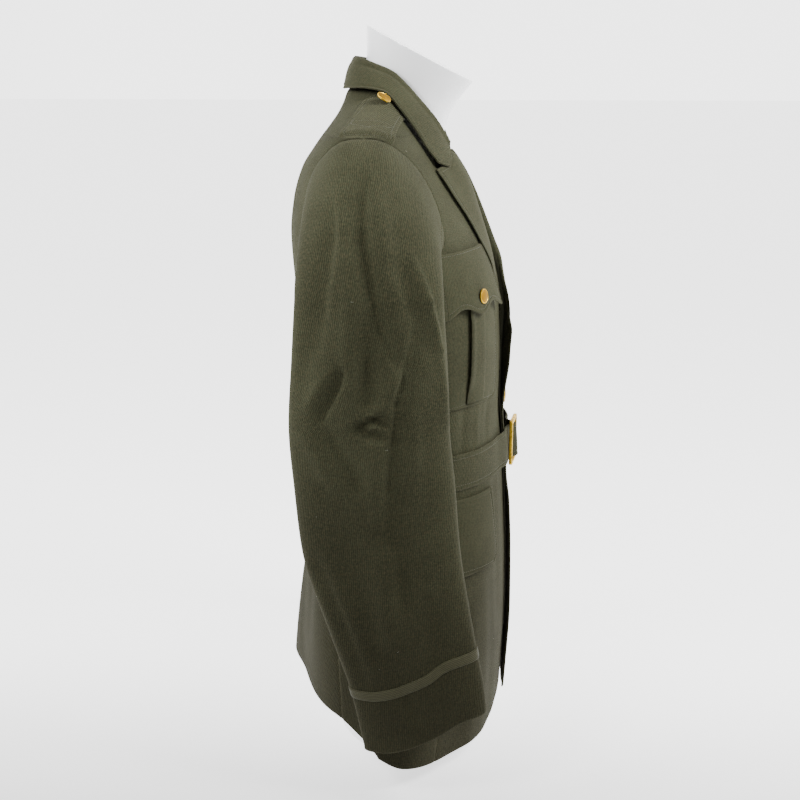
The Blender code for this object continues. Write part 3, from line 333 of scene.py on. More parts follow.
# Small folds of the body, across in degrees of turn.
BODY_FOLDS = (
    Fold(27.0, 0.470, 31.0, 0.408, 0.007, 0.0013),
    Fold(38.0, 0.455, 40.0, 0.405, 0.006, -0.0012),
    Fold(48.0, 0.480, 51.0, 0.406, 0.009, 0.0016),
    Fold(66.0, 0.500, 62.0, 0.408, 0.010, 0.0018),
    Fold(76.0, 0.530, 73.0, 0.410, 0.012, -0.0016),
    Fold(95.0, 0.540, 88.0, 0.410, 0.012, 0.0020),
    Fold(118.0, 0.560, 108.0, 0.408, 0.014, 0.0020),
    Fold(134.0, 0.500, 128.0, 0.408, 0.010, -0.0016),
    Fold(150.0, 0.520, 146.0, 0.410, 0.012, 0.0017),
    Fold(24.0, 0.345, 21.0, 0.150, 0.012, 0.0018),
    Fold(30.0, 0.230, 27.0, 0.030, 0.014, 0.0024),
    Fold(44.0, 0.200, 42.0, 0.030, 0.013, -0.0020),
    Fold(68.0, 0.340, 66.0, 0.190, 0.012, 0.0018),
    Fold(84.0, 0.346, 88.0, 0.200, 0.012, -0.0018),
    Fold(98.0, 0.345, 102.0, 0.160, 0.014, 0.0022),
    Fold(117.0, 0.346, 121.0, 0.210, 0.012, -0.0016),
    Fold(139.0, 0.346, 143.0, 0.150, 0.014, 0.0020),
    Fold(160.0, 0.345, 162.0, 0.120, 0.014, -0.0018),
    Fold(52.0, 0.700, 34.0, 0.655, 0.013, 0.0012),
    Fold(129.0, 0.690, 150.0, 0.600, 0.016, 0.0016),
)
METRES_A_DEGREE = 0.0031   # round the body


class BodyShape:
    """The surface of the coat's body, and what stands off it."""

    def ring(self, table: Table, side: Array, turn: Array, z: Array) -> Array:
        """Places on a cross-section of the body or of the form.

        Args:
            table: the sections' sizes by height.
            side: 1 for the wearer's left, -1 for the right.
            turn: degrees from the middle of the front.
            z: heights.

        Returns:
            The points.
        """
        across, ahead = np.sin(np.radians(turn)), np.cos(np.radians(turn))
        centre = table.at("centre", z)
        is_front = ahead > 0
        reach = np.abs(np.where(is_front, table.at("front", z), table.at("back", z)) - centre)
        power = 2 / np.where(is_front, table.at("front_squareness", z), table.at("back_squareness", z))
        return places(side * table.at("half_width", z) * signed_power(across, power),
                      centre - reach * signed_power(ahead, power), z)

    def fluted(self, side: Array, turn: Array, z: Array) -> Array:
        """The cloth's outer face, with the skirt's flutes and the small folds."""
        point = self.ring(TORSO, side, turn, z)
        stand = FLUTES.at("stand", np.abs(turn)) * ease((0.34 - z) / 0.30)
        shift = np.where(np.asarray(side) > 0, 0.008, 0.0)
        for fold in BODY_FOLDS:
            stand = stand - fold.at(np.abs(turn), z - shift, METRES_A_DEGREE)
        away = point - places(0.0, TORSO.at("centre", z), z)
        return point + unit(away) * stand[..., None]

    def normal(self, side: Array, turn: Array, z: Array) -> Array:
        """Outward direction of the body's surface."""
        turn = np.clip(turn, -60.0, 179.5)
        across = self.fluted(side, turn + 0.5, z) - self.fluted(side, turn - 0.5, z)
        up = self.fluted(side, turn, z + 0.002) - self.fluted(side, turn, z - 0.002)
        return unit(np.cross(across, up) * np.asarray(side)[..., None])

    def point(self, side: Array, turn: Array, z: Array, out: Array = 0.0) -> Array:
        """Places on the body, moved out along its normal.

        Args:
            side: 1 or -1.
            turn: degrees from the middle of the front.
            z: heights.
            out: how far they stand off the outer face.

        Returns:
            The points.
        """
        side, turn, z, out = np.broadcast_arrays(side, turn, z, out)
        normal = self.normal(side, turn, z)
        normal = np.where((turn >= 180.0)[..., None], np.array([0.0, 1.0, 0.0]), normal)
        return self.fluted(side, turn, z) + normal * out[..., None]

    def turn_at(self, x: Array, z: Array) -> Array:
        """The turn of places that lie x to the side of the middle, on the front."""
        ratio = np.minimum(np.abs(x) / TORSO.at("half_width", z), 1.0)
        power = TORSO.at("front_squareness", z) / 2
        return np.copysign(np.degrees(np.arcsin(ratio ** power)), x)

    def turn_along(self, x: Array, z: Array, distance: Array) -> Array:
        """The turn reached by going a distance round the body from places on the front.

        Args:
            x: where each row starts, as a distance from the middle of the coat.
            z: heights, rows by columns.
            distance: how far to go, rows by columns.

        Returns:
            The turns.
        """
        turns = np.linspace(-30.0, 150.0, 361)
        x, z, distance = np.broadcast_arrays(x, z, distance)
        found = np.empty(z.shape)
        heights = np.unique(np.round(z, 6))
        lengths = {}
        for height in heights:
            line = self.ring(TORSO, 1, turns, np.full_like(turns, height))
            lengths[height] = run_lengths(line[None], 1)[0]
        for place in np.ndindex(z.shape):
            length = lengths[round(float(z[place]), 6)]
            start = np.interp(self.turn_at(x[place], z[place]), turns, length)
            found[place] = np.interp(start + distance[place], length, turns)
        return found

    def lap(self, side: int, turn: Array, z: Array) -> Array:
        """How far the left front stands off the body where it lies over the right one."""
        if side < 0:
            return np.zeros(np.broadcast(turn, z).shape)
        x = self.ring(TORSO, 1, turn, z)[..., 0]
        thick = 0.0038 + 0.0040 * ease((z - 0.500) / 0.056) * ease((0.640 - z) / 0.030)
        return (ease((0.050 - x) / 0.018) * thick
                + CURL.at("lift", z) * ease((-0.004 - x) / 0.026))

    def front_point(self, side: int, turn: Array, z: Array, out: Array = 0.0) -> Array:
        """Places on a front panel, with the left one's lap."""
        return self.point(side, turn, z, out + self.lap(side, turn, z))

    def shoulder_height(self, x: Array, y: Array) -> Array:
        """Height of the cloth above places on the slope of the shoulder."""
        x, y = np.broadcast_arrays(x, y)
        low, high = np.full(x.shape, 0.60), np.full(x.shape, 0.842)
        for _ in range(26):
            z = (low + high) / 2
            centre = TORSO.at("centre", z)
            is_front = y < centre
            reach = np.abs(np.where(is_front, TORSO.at("front", z), TORSO.at("back", z)) - centre)
            share = ((np.abs(x) / TORSO.at("half_width", z)) ** 2.3
                     + (np.abs(y - centre) / reach) ** 2.3)
            low, high = np.where(share < 1, z, low), np.where(share < 1, high, z)
        return low

    def shoulder_point(self, x: Array, y: Array, out: Array) -> tuple[Array, Array]:
        """Places on the shoulder, and the way up from them.

        Args:
            x: distance from the middle of the coat.
            y: place along the depth.
            out: how far they stand off the cloth.

        Returns:
            The points and their normals.
        """
        step = 0.002
        rise_x = (self.shoulder_height(x + step, y) - self.shoulder_height(x - step, y)) / (2 * step)
        rise_y = (self.shoulder_height(x, y + step) - self.shoulder_height(x, y - step)) / (2 * step)
        normal = unit(places(-rise_x, -rise_y, 1.0))
        return places(x, y, self.shoulder_height(x, y)) + normal * np.asarray(out)[..., None], normal


BODY = BodyShape()


def armhole_turns(z: Array, scale: float = 1.0) -> tuple[Array, Array]:
    """Turns of the armhole's front and back edges at a height."""
    place = np.minimum(np.abs(z - ARMHOLE_HEIGHT) / (ARMHOLE_RISE * scale), 1.0)
    share = (1 - place ** ARMHOLE_SQUARENESS) ** (1 / ARMHOLE_SQUARENESS) * scale
    return 90.0 - ARMHOLE_FRONT * share, 90.0 + ARMHOLE_BACK * share


def armhole_height(arm_turn: Array, scale: float = 1.0) -> Array:
    """Height of the armhole's edge at a turn round the arm."""
    return ARMHOLE_HEIGHT + ARMHOLE_RISE * scale * np.cos(np.radians(arm_turn))


# ---------------------------------------------------------------- shader expressions
class Value:
    """A socket of a node tree, so that sums on it add their own Math nodes."""

    def __init__(self, shade: "Shade", socket: bpy.types.NodeSocket) -> None:
        """Wraps a socket."""
        self.shade, self.socket = shade, socket

    def _math(self, operation: str, first: "Value | float", second: "Value | float") -> "Value":
        """Adds a Math node on two values."""
        return self.shade.node("ShaderNodeMath", {"operation": operation}, {0: first, 1: second})

    def __add__(self, other: "Value | float") -> "Value":
        """Sum."""
        return self._math("ADD", self, other)

    def __radd__(self, other: float) -> "Value":
        """Sum with a number first."""
        return self._math("ADD", other, self)

    def __sub__(self, other: "Value | float") -> "Value":
        """Difference."""
        return self._math("SUBTRACT", self, other)

    def __rsub__(self, other: float) -> "Value":
        """Difference with a number first."""
        return self._math("SUBTRACT", other, self)

    def __mul__(self, other: "Value | float") -> "Value":
        """Product."""
        return self._math("MULTIPLY", self, other)

    def __rmul__(self, other: float) -> "Value":
        """Product with a number first."""
        return self._math("MULTIPLY", other, self)

    def __pow__(self, other: float) -> "Value":
        """Power."""
        return self._math("POWER", self, other)

    def sine(self) -> "Value":
        """A wave from 0 to 1."""
        wave = self.shade.node("ShaderNodeMath", {"operation": "SINE"}, {0: self})
        return wave * 0.5 + 0.5

    def step(self, low: float, high: float) -> "Value":
        """A smooth step from 0 at low to 1 at high."""
        return self.shade.node("ShaderNodeMapRange", {"interpolation_type": "SMOOTHSTEP"},
                               {"Value": self, "From Min": low, "From Max": high})


class Shade:
    """A material under construction."""

    def __init__(self, name: str) -> None:
        """Starts a material with its shader and output."""
        self.material = bpy.data.materials.new(name)
        self.material.use_nodes = True
        self.tree = self.material.node_tree
        self.shader = self.tree.nodes["Principled BSDF"]

    def node(self, kind: str, settings: dict, inputs: dict, output: int | str = 0) -> Value:
        """Adds any node.

        Args:
            kind: the node's type.
            settings: its properties, or the stops of a ramp as (place, colour).
            inputs: values or links for its sockets, by name or number.
            output: which of its outputs is wanted.

        Returns:
            That output.
        """
        made = self.tree.nodes.new(kind)
        for key, setting in settings.items():
            setattr(made, key, setting)
        for key, given in inputs.items():
            if isinstance(given, Value):
                self.tree.links.new(given.socket, made.inputs[key])
            else:
                made.inputs[key].default_value = given
        return Value(self, made.outputs[output])

    def noise(self, scale: float, where: Value, detail: float = 2.0, output: str = "Fac") -> Value:
        """Noise of a scale, at a place."""
        return self.node("ShaderNodeTexNoise", {}, {"Vector": where, "Scale": scale, "Detail": detail},
                         output)

    def mix(self, share: Value, first: "Value | tuple", second: "Value | tuple",
            blend: str = "MIX") -> Value:
        """Mixes two colours.

        Args:
            share: how much of the second.
            first: a colour or a link.
            second: a colour or a link.
            blend: how they are mixed.

        Returns:
            The colour.
        """
        return self.node("ShaderNodeMix", {"data_type": "RGBA", "blend_type": blend},
                         {0: share, 6: self._colour(first), 7: self._colour(second)}, 2)

    @staticmethod
    def _colour(given: "Value | tuple") -> "Value | tuple":
        """A colour with its alpha."""
        return given if isinstance(given, Value) else (*given, 1.0)

    def where(self) -> Value:
        """Object coordinates."""
        return self.node("ShaderNodeTexCoord", {}, {}, "Object")

    def across_and_up(self, where: Value) -> tuple[Value, Value]:
        """The x and the z of a place."""
        split = self.node("ShaderNodeSeparateXYZ", {}, {0: where})
        return split, Value(self, split.socket.node.outputs[2])

    def map_parts(self, name: str) -> tuple[Value, Value, Value]:
        """A UV map, and its two coordinates."""
        whole = self.node("ShaderNodeUVMap", {"uv_map": name}, {})
        split = self.node("ShaderNodeSeparateXYZ", {}, {0: whole})
        other = Value(self, split.socket.node.outputs[1])
        return whole, split, other

    def bump(self, height: Value, distance: float, strength: float = 1.0,
             under: Value | None = None) -> Value:
        """A bumped normal."""
        inputs = {"Height": height, "Distance": distance, "Strength": strength}
        if under is not None:
            inputs["Normal"] = under
        return self.node("ShaderNodeBump", {}, inputs)

    def finish(self, links: dict[str, Value], constants: dict[str, float | tuple]) -> bpy.types.Material:
        """Connects the shader.

        Args:
            links: what changes over the surface, by socket.
            constants: what is the same all over, by socket.

        Returns:
            The material.
        """
        for key, value in links.items():
            self.tree.links.new(value.socket, self.shader.inputs[key])
        for key, value in constants.items():
            self.shader.inputs[key].default_value = value
        return self.material


# ---------------------------------------------------------------- finishes
@dataclass(frozen=True)
class WoolTwill:
    """Heavy wool with a steep twill line, a little faded and rubbed at its edges. Its colour is painted darker
    towards the bottom and lighter towards the top: mostly painted shade and light from above, partly sun
    fading.
    """

    name: str
    dark: tuple[float, float, float] = (0.0225, 0.0229, 0.0113)
    light: tuple[float, float, float] = (0.0440, 0.0455, 0.0244)
    warm: tuple[float, float, float] = (0.0450, 0.0395, 0.0205)
    rubbed: tuple[float, float, float] = (0.0800, 0.0760, 0.0470)
    # Colour multipliers for low and high on the coat: painted shade below and painted light above, with a
    # little sun fading.
    low_shade_and_fade: tuple[float, float, float] = (0.50, 0.485, 0.42)
    high_light_and_fade: tuple[float, float, float] = (1.10, 1.14, 1.14)
    pitch: float = 0.0023        # between two twill lines
    lean: float = 78.0           # of the lines, in degrees from level
    line_depth: float = 0.00040
    contrast: float = 1.0        # of the weave's lines and flecks

    def build(self) -> bpy.types.Material:
        """Makes the material."""
        shade = Shade(self.name)
        weave, u, v = shade.map_parts(WEAVE_MAP)
        _, edge, _ = shade.map_parts(EDGE_MAP)
        where = shade.where()
        _, height = shade.across_and_up(where)
        lean, turn = math.radians(self.lean), 2 * math.pi / self.pitch
        sway = shade.noise(70.0, weave, 1.0) * 0.0011 + shade.noise(310.0, weave, 1.0) * 0.0021
        line = ((u * math.sin(lean) - v * math.cos(lean) + sway) * turn).sine()
        floats = ((u * math.cos(lean) + v * math.sin(lean) + sway) * (turn * 0.72)).sine()
        yarn = line * 0.72 + line * floats * 0.28
        fuzz = shade.noise(1300.0, weave, 3.0)
        fleck = shade.noise(420.0, weave, 2.0)
        cloud = shade.noise(9.0, where, 3.0)
        patch = shade.noise(42.0, where, 2.0)
        tone = cloud * 0.55 + patch * 0.25 + fleck * 0.45 - 0.12
        colour = shade.mix(tone.step(0.25, 0.85), self.dark, self.light)
        mottle = shade.noise(260.0, weave, 2.0).step(0.42, 0.66)
        colour = shade.mix(mottle * 0.55, colour, self.warm)
        # Darker towards the bottom and lighter towards the top: painted shade and light of lamps from above,
        # partly sun fading.
        height_shade_and_fade = shade.mix(height.step(0.05, 0.55), self.low_shade_and_fade, self.high_light_and_fade)
        colour = shade.mix(1.0, colour, height_shade_and_fade, "MULTIPLY")
        rub = (1 - edge.step(0.0004, 0.0030)) * (0.30 + fleck * 0.5)
        colour = shade.mix(rub * 0.28, colour, self.rubbed)
        pale = shade.noise(760.0, weave, 1.0).step(0.66, 0.74)
        colour = shade.mix(pale * 0.16, colour, self.rubbed)
        # Darker in the twill's grooves, where the bump sets the yarn low: painted shade. The flecks and the
        # fuzz are the yarn's own tone.
        sunk = ((yarn - 0.45) * 0.55 + (fleck - 0.5) * 0.62) * self.contrast + fuzz * 0.20 + 0.86
        colour = shade.mix(1.0, colour, shade.node("ShaderNodeCombineColor", {},
                                                   {0: sunk, 1: sunk, 2: sunk}), "MULTIPLY")
        rough = 0.86 + fuzz * 0.12 - yarn * 0.05
        soft = shade.bump(cloud * 0.5 + patch * 0.5, 0.0022, 0.5)
        normal = shade.bump(yarn + fuzz * 0.55, self.line_depth, 1.0, soft)
        return shade.finish({"Base Color": colour, "Roughness": rough, "Normal": normal},
                            {"Sheen Weight": 0.06, "Sheen Roughness": 0.45,
                             "Sheen Tint": (0.80, 0.74, 0.48, 1.0), "Specular IOR Level": 0.12})


@dataclass(frozen=True)
class Braid:
    """Flat mohair braid with fine plaited ribs, painted shade in the hollows between them, and a soft lustre.
    """

    name: str = "mohair_braid"
    dark: tuple[float, float, float] = (0.0140, 0.0137, 0.0064)
    light: tuple[float, float, float] = (0.0500, 0.0484, 0.0208)
    rib: float = 0.0024          # between two slanting ribs
    cord: float = 0.0020         # between two cords along the braid

    def build(self) -> bpy.types.Material:
        """Makes the material."""
        shade = Shade(self.name)
        weave, u, v = shade.map_parts(WEAVE_MAP)
        _, edge, _ = shade.map_parts(EDGE_MAP)
        turn = 2 * math.pi / self.rib
        slant = shade.node("ShaderNodeMath", {"operation": "PINGPONG"}, {0: v, 1: 0.004})
        plait = ((u + slant * 0.9) * turn).sine()
        cord = (v * (2 * math.pi / self.cord)).sine()
        fuzz = shade.noise(1500.0, weave, 2.0)
        # Lighter on the raised plaits and cords and darker in the hollows between them, as the bump has them:
        # painted shade. The fuzz is the mohair's own tone.
        tone = plait * 0.18 + fuzz * 0.30 + cord * 0.52
        colour = shade.mix(tone.step(0.1, 0.9), self.dark, self.light)
        rough = 0.62 + fuzz * 0.2
        normal = shade.bump(plait * 0.8 + cord * 0.5 + fuzz * 0.3 + edge.step(0.0, 0.001), 0.0003, 1.0)
        return shade.finish({"Base Color": colour, "Roughness": rough, "Normal": normal},
                            {"Sheen Weight": 0.05, "Sheen Roughness": 0.4, "Specular IOR Level": 0.2})


@dataclass(frozen=True)
class Thread:
    """Sewing thread or a loose fibre."""

    name: str
    colour: tuple[float, float, float]
    fleck: tuple[float, float, float]

    def build(self) -> bpy.types.Material:
        """Makes the material."""
        shade = Shade(self.name)
        where = shade.where()
        grain = shade.noise(1800.0, where, 2.0)
        colour = shade.mix(grain, self.colour, self.fleck)
        normal = shade.bump(grain, 0.0001, 0.6)
        return shade.finish({"Base Color": colour, "Roughness": 0.55 + grain * 0.3, "Normal": normal},
                            {"Sheen Weight": 0.2, "Specular IOR Level": 0.3})


@dataclass(frozen=True)
class GildedMetal:
    """Stamped brass, gilt or lacquered, with duller hollows and fine wear."""

    name: str
    bright: tuple[float, float, float]
    dull: tuple[float, float, float]
    roughness: float
    has_relief: bool = False     # the piece's edge map is 1 on its raised parts

    def build(self) -> bpy.types.Material:
        """Makes the material."""
        shade = Shade(self.name)
        where = shade.where()
        tarnish = shade.noise(340.0, where, 3.0)
        grain = shade.noise(2600.0, where, 2.0)
        worn = tarnish.step(0.42, 0.72)
        if self.has_relief:
            _, raised, _ = shade.map_parts(EDGE_MAP)
            worn = 1 - (1 - worn * 0.6) * raised.step(0.15, 0.85)
        colour = shade.mix(worn, self.bright, self.dull)
        rough = worn * 0.22 + grain * 0.08 + self.roughness
        normal = shade.bump(grain * 0.5 + tarnish * 0.5, 0.00012, 0.5)
        return shade.finish({"Base Color": colour, "Roughness": rough, "Normal": normal},
                            {"Metallic": 1.0})


@dataclass(frozen=True)
class MouldedShell:
    """White moulded plastic with a clear gloss and faint handling marks, made to glow a little though it is no
    lamp: painted light.
    """

    name: str = "moulded_shell"
    white: tuple[float, float, float] = (0.86, 0.87, 0.875)
    grey: tuple[float, float, float] = (0.80, 0.805, 0.81)

    def build(self) -> bpy.types.Material:
        """Makes the material."""
        shade = Shade(self.name)
        where = shade.where()
        cloud = shade.noise(7.0, where, 3.0)
        scuff = shade.noise(90.0, where, 4.0)
        colour = shade.mix(cloud.step(0.35, 0.75) * 0.5, self.white, self.grey)
        rough = 0.20 + scuff.step(0.45, 0.8) * 0.16
        normal = shade.bump(cloud, 0.0012, 0.25)
        # A faint white glow all over the shell, though it is no lamp: painted light that brightens it.
        return shade.finish({"Base Color": colour, "Roughness": rough, "Normal": normal},
                            {"Coat Weight": 0.35, "Coat Roughness": 0.12,
                             "Emission Color": (1.0, 1.0, 1.0, 1.0), "Emission Strength": 0.35})


@dataclass(frozen=True)
class Finishes:
    """Every material of the coat and the form, made once."""

    wool: bpy.types.Material
    smooth_wool: bpy.types.Material
    braid: bpy.types.Material
    thread: bpy.types.Material
    gilt: bpy.types.Material
    brass: bpy.types.Material
    shell: bpy.types.Material
    lint: bpy.types.Material

    @classmethod
    def make(cls) -> "Finishes":
        """Builds them all."""
        return cls(
            wool=WoolTwill("wool_twill").build(),
            smooth_wool=WoolTwill("pressed_wool_twill", line_depth=0.00018, contrast=0.35).build(),
            braid=Braid().build(),
            thread=Thread("sewing_thread", (0.034, 0.033, 0.018), (0.068, 0.066, 0.038)).build(),
            gilt=GildedMetal("gilt", (0.74, 0.47, 0.048), (0.30, 0.16, 0.009), 0.33, True).build(),
            brass=GildedMetal("lacquered_brass", (0.66, 0.43, 0.045), (0.38, 0.22, 0.018), 0.40).build(),
            shell=MouldedShell().build(),
            lint=Thread("lint", (0.15, 0.15, 0.12), (0.24, 0.24, 0.20)).build())


# ---------------------------------------------------------------- making meshes
def deselect() -> None:
    """Leaves edit mode and selects nothing."""
    if bpy.context.object is not None and bpy.context.object.mode != "OBJECT":
        bpy.ops.object.mode_set(mode="OBJECT")
    bpy.ops.object.select_all(action="DESELECT")


def take(piece: bpy.types.Object) -> None:
    """Makes a piece the only selected and the active one."""
    deselect()
    piece.select_set(True)
    bpy.context.view_layer.objects.active = piece


def choose(piece: bpy.types.Object, kind: str, chosen: Sequence[int]) -> None:
    """Enters edit mode with only some faces or edges of a piece selected.

    Args:
        piece: the object.
        kind: FACE or EDGE.
        chosen: their numbers.
    """
    take(piece)
    mesh = piece.data
    for group in (mesh.vertices, mesh.edges, mesh.polygons):
        group.foreach_set("select", [False] * len(group))
    bpy.ops.object.mode_set(mode="EDIT")
    bpy.ops.mesh.select_mode(type=kind)
    bpy.ops.mesh.select_all(action="DESELECT")
    bpy.ops.object.mode_set(mode="OBJECT")
    group = mesh.polygons if kind == "FACE" else mesh.edges
    for number in chosen:
        group[number].select = True
    bpy.ops.object.mode_set(mode="EDIT")


def apply_all(piece: bpy.types.Object) -> None:
    """Applies a piece's modifiers in their order."""
    take(piece)
    for modifier in list(piece.modifiers):
        bpy.ops.object.modifier_apply(modifier=modifier.name)


def round_edges(piece: bpy.types.Object, width: float, segments: int, angle: float = 50.0) -> None:
    """Adds a Bevel on a piece's sharp edges."""
    bevel = piece.modifiers.new("Rounded edges", "BEVEL")
    bevel.width, bevel.segments = width, segments
    bevel.limit_method = "ANGLE"
    bevel.angle_limit = math.radians(angle)


def smooth_over(piece: bpy.types.Object, angle: float = 45.0) -> None:
    """Shades a piece smooth up to an angle."""
    take(piece)
    bpy.ops.object.shade_smooth_by_angle(angle=math.radians(angle))


def dress(piece: bpy.types.Object, material: bpy.types.Material, slot: str, *nodes: str) -> None:
    """Gives a piece its finish and its place in the part.

    Args:
        piece: the finished object.
        material: its material.
        slot: not used.
        nodes: the CAD nodes that it stands for.
    """
    piece.data.materials.clear()
    piece.data.materials.append(material)
    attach(piece, "root")
    if nodes:
        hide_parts(*nodes)
    LOG.info("%s: %d faces", piece.name, len(piece.data.polygons))


@dataclass
class ClothPiece:
    """One cut piece of cloth, shaped as a grid of points on its outer face.

    The edges are named in the order first column, last column, first row, last row.
    """

    name: str
    points: Array
    node: str
    material: bpy.types.Material
    slot: str = "olive_cloth"
    thickness: float = CLOTH
    edges: tuple[Edge, Edge, Edge, Edge] = (Edge.SEAM, Edge.SEAM, Edge.TURNED, Edge.SEAM)
    held: str = "hung"
    is_closed: bool = False
    flips: bool = False
    object: bpy.types.Object | None = None
    along: Array = field(init=False)
    up: Array = field(init=False)
    normals: Array = field(init=False)

    def __post_init__(self) -> None:
        """Measures the grid and adds the relief of its edges."""
        if self.flips:
            self.points = self.points[:, ::-1]
            first, last, low, high = self.edges
            self.edges = (last, first, low, high)
        self.along, self.up = run_lengths(self.points, 1), run_lengths(self.points, 0)
        self.normals = self._normals()
        self.points = self.points + self.normals * self._relief()[..., None]

    def _normals(self) -> Array:
        """Outward directions at the grid's points."""
        return unit(np.cross(np.gradient(self.points, axis=1), np.gradient(self.points, axis=0)))

    def _distances(self) -> tuple[Array, Array, Array, Array]:
        """Distances of every point from the four edges."""
        return (self.along, self.along[:, -1:] - self.along, self.up, self.up[-1:] - self.up)

    def _relief(self) -> Array:
        """Rise of the outer face near its edges."""
        return sum(edge.relief(distance) for edge, distance in zip(self.edges, self._distances()))

    def build(self) -> bpy.types.Object:
        """Returns:
            The finished piece.
        """
        rows, columns = self.points.shape[:2]
        deselect()
        bpy.ops.mesh.primitive_grid_add(x_subdivisions=columns - 1, y_subdivisions=rows - 1, size=1.0)
        piece = self.object = bpy.context.object
        piece.name = piece.data.name = self.name
        flat = np.empty(rows * columns * 3)
        piece.data.vertices.foreach_get("co", flat)
        flat = flat.reshape(-1, 3) + 0.5
        row = np.rint(flat[:, 1] * (rows - 1)).astype(int)
        column = np.rint(flat[:, 0] * (columns - 1)).astype(int)
        piece.data.vertices.foreach_set("co", self.points[row, column].astype(np.float32).ravel())
        self._write_maps(piece.data, row, column)
        if self.is_closed:
            bpy.ops.object.mode_set(mode="EDIT")
            bpy.ops.mesh.select_all(action="SELECT")
            bpy.ops.mesh.remove_doubles(threshold=0.00002)
            bpy.ops.object.mode_set(mode="OBJECT")
        wall = piece.modifiers.new("Wall", "SOLIDIFY")
        wall.thickness, wall.offset = self.thickness, -1.0
        round_edges(piece, self.thickness * 0.24, 2, 55.0)
        apply_all(piece)
        smooth_over(piece, 50.0)
        dress(piece, self.material, self.slot, self.node)
        width, length, area = self.cut()
        LOG.info("%s cut %.3f x %.3f m, %.4f m2", self.name, width, length, area)
        return piece

    def _write_maps(self, mesh: bpy.types.Mesh, row: Array, column: Array) -> None:
        """Writes the weave and edge maps from the grid's distances."""
        corner = np.empty(len(mesh.loops), dtype=int)
        mesh.loops.foreach_get("vertex_index", corner)
        middle = self.along.shape[1] // 2
        across = self.along - self.along[:, middle:middle + 1]
        rise = np.broadcast_to(self.up.mean(axis=1, keepdims=True), self.up.shape)
        nearest = np.minimum.reduce([distance for edge, distance in zip(self.edges, self._distances())
                                     if edge is not Edge.RAW] or [self.along + 1.0])
        while mesh.uv_layers:
            mesh.uv_layers.remove(mesh.uv_layers[0])
        for name, first, second in ((WEAVE_MAP, across, rise), (EDGE_MAP, nearest, nearest)):
            layer = mesh.uv_layers.new(name=name)
            values = np.stack([first[row, column][corner], second[row, column][corner]], axis=-1)
            layer.data.foreach_set("uv", values.astype(np.float32).ravel())

    def cut(self) -> tuple[float, float, float]:
        """Width, length and area of the flat cut, with no turnings."""
        width, length = float(self.along[:, -1].max()), float(self.up[-1].max())
        side_a = np.linalg.norm(np.cross(self.points[1:, 1:] - self.points[:-1, :-1],
                                         self.points[1:, :-1] - self.points[:-1, 1:]), axis=-1)
        area = float(side_a.sum() / 2)
        low, high = 0.31 * width * length, width * length
        return round(width, 4), round(length, 4), round(min(max(area, low), high), 5)

    def at(self, across: Array, up: Array) -> tuple[Array, Array]:
        """Places on the outer face, by their shares of the grid's width and height.

        Args:
            across: shares along the rows.
            up: shares up the columns.

        Returns:
            Points and outward directions.
        """
        rows, columns = self.points.shape[:2]
        u, v = np.clip(across, 0, 1) * (columns - 1), np.clip(up, 0, 1) * (rows - 1)
        i, j = np.minimum(v.astype(int), rows - 2), np.minimum(u.astype(int), columns - 2)
        a, b = (v - i)[..., None], (u - j)[..., None]

        def read(grid: Array) -> Array:
            """Reads a grid between its points."""
            return ((grid[i, j] * (1 - b) + grid[i, j + 1] * b) * (1 - a)
                    + (grid[i + 1, j] * (1 - b) + grid[i + 1, j + 1] * b) * a)
        return read(self.points), unit(read(self.normals))

    def inset_line(self, edge: int, inset: float = STITCH_INSET, ends: float = 0.0) -> tuple[Array, Array]:
        """A line that runs beside one edge of the cloth.

        Args:
            edge: 0 first column, 1 last column, 2 first row, 3 last row.
            inset: how far from the edge.
            ends: how much is left out at both of the line's ends.

        Returns:
            Points and outward directions.
        """
        distance = self._distances()[edge]
        points, normals = self.points, self.normals
        if edge > 1:
            distance, points, normals = distance.T, points.swapaxes(0, 1), normals.swapaxes(0, 1)
        line, outs = [], []
        for here, place, out in zip(distance, points, normals):
            order = np.argsort(here)
            line.append([np.interp(inset, here[order], place[order, k]) for k in range(3)])
            outs.append([np.interp(inset, here[order], out[order, k]) for k in range(3)])
        line, outs = np.array(line), np.array(outs)
        run = run_lengths(line[None], 1)[0]
        keep = (run >= ends - 1e-6) & (run <= run[-1] - ends + 1e-6)
        return line[keep], unit(outs[keep])


class Stitching:
    """Rows of stitches joined into one mesh."""

    def __init__(self, name: str, pitch: float = 0.0034, length: float = 0.0026,
                 radius: float = 0.00030) -> None:
        """Starts with no rows."""
        self.name, self.pitch, self.length, self.radius = name, pitch, length, radius
        self.places: list[Matrix] = []

    def add(self, line: Array, outs: Array) -> None:
        """Adds a row of stitches along a line.

        Args:
            line: the row's points.
            outs: outward directions at them.
        """
        run = run_lengths(line[None], 1)[0]
        for middle in np.arange(self.pitch, run[-1] - self.pitch / 2, self.pitch):
            spots = [np.array([np.interp(middle + step, run, line[:, k]) for k in range(3)])
                     for step in (-self.length / 2, self.length / 2)]
            out = np.array([np.interp(middle, run, outs[:, k]) for k in range(3)])
            ahead = unit(spots[1] - spots[0])
            out = unit(out - ahead * (out @ ahead))
            turned = Matrix((ahead, np.cross(out, ahead), out)).transposed().to_4x4()
            turned.translation = Vector((spots[0] + spots[1]) / 2 + out * self.radius * 0.35)
            self.places.append(turned)

    def build(self, material: bpy.types.Material) -> bpy.types.Object:
        """Copies one modelled stitch to every place.

        Args:
            material: the thread.

        Returns:
            The finished piece.
        """
        deselect()
        bpy.ops.mesh.primitive_uv_sphere_add(segments=6, ring_count=4, radius=self.radius)
        piece = bpy.context.object
        bpy.ops.object.mode_set(mode="EDIT")
        bpy.ops.mesh.select_all(action="SELECT")
        bpy.ops.transform.rotate(value=math.pi / 2, orient_axis="Y", center_override=(0, 0, 0))
        bpy.ops.transform.resize(value=(self.length / (2 * self.radius), 1.0, 0.7),
                                 center_override=(0, 0, 0))
        bpy.ops.object.mode_set(mode="OBJECT")
        piece.name = piece.data.name = self.name
        repeat_mesh(piece, self.places)
        smooth_over(piece, 60.0)
        dress(piece, material, "olive_cloth")
        return piece


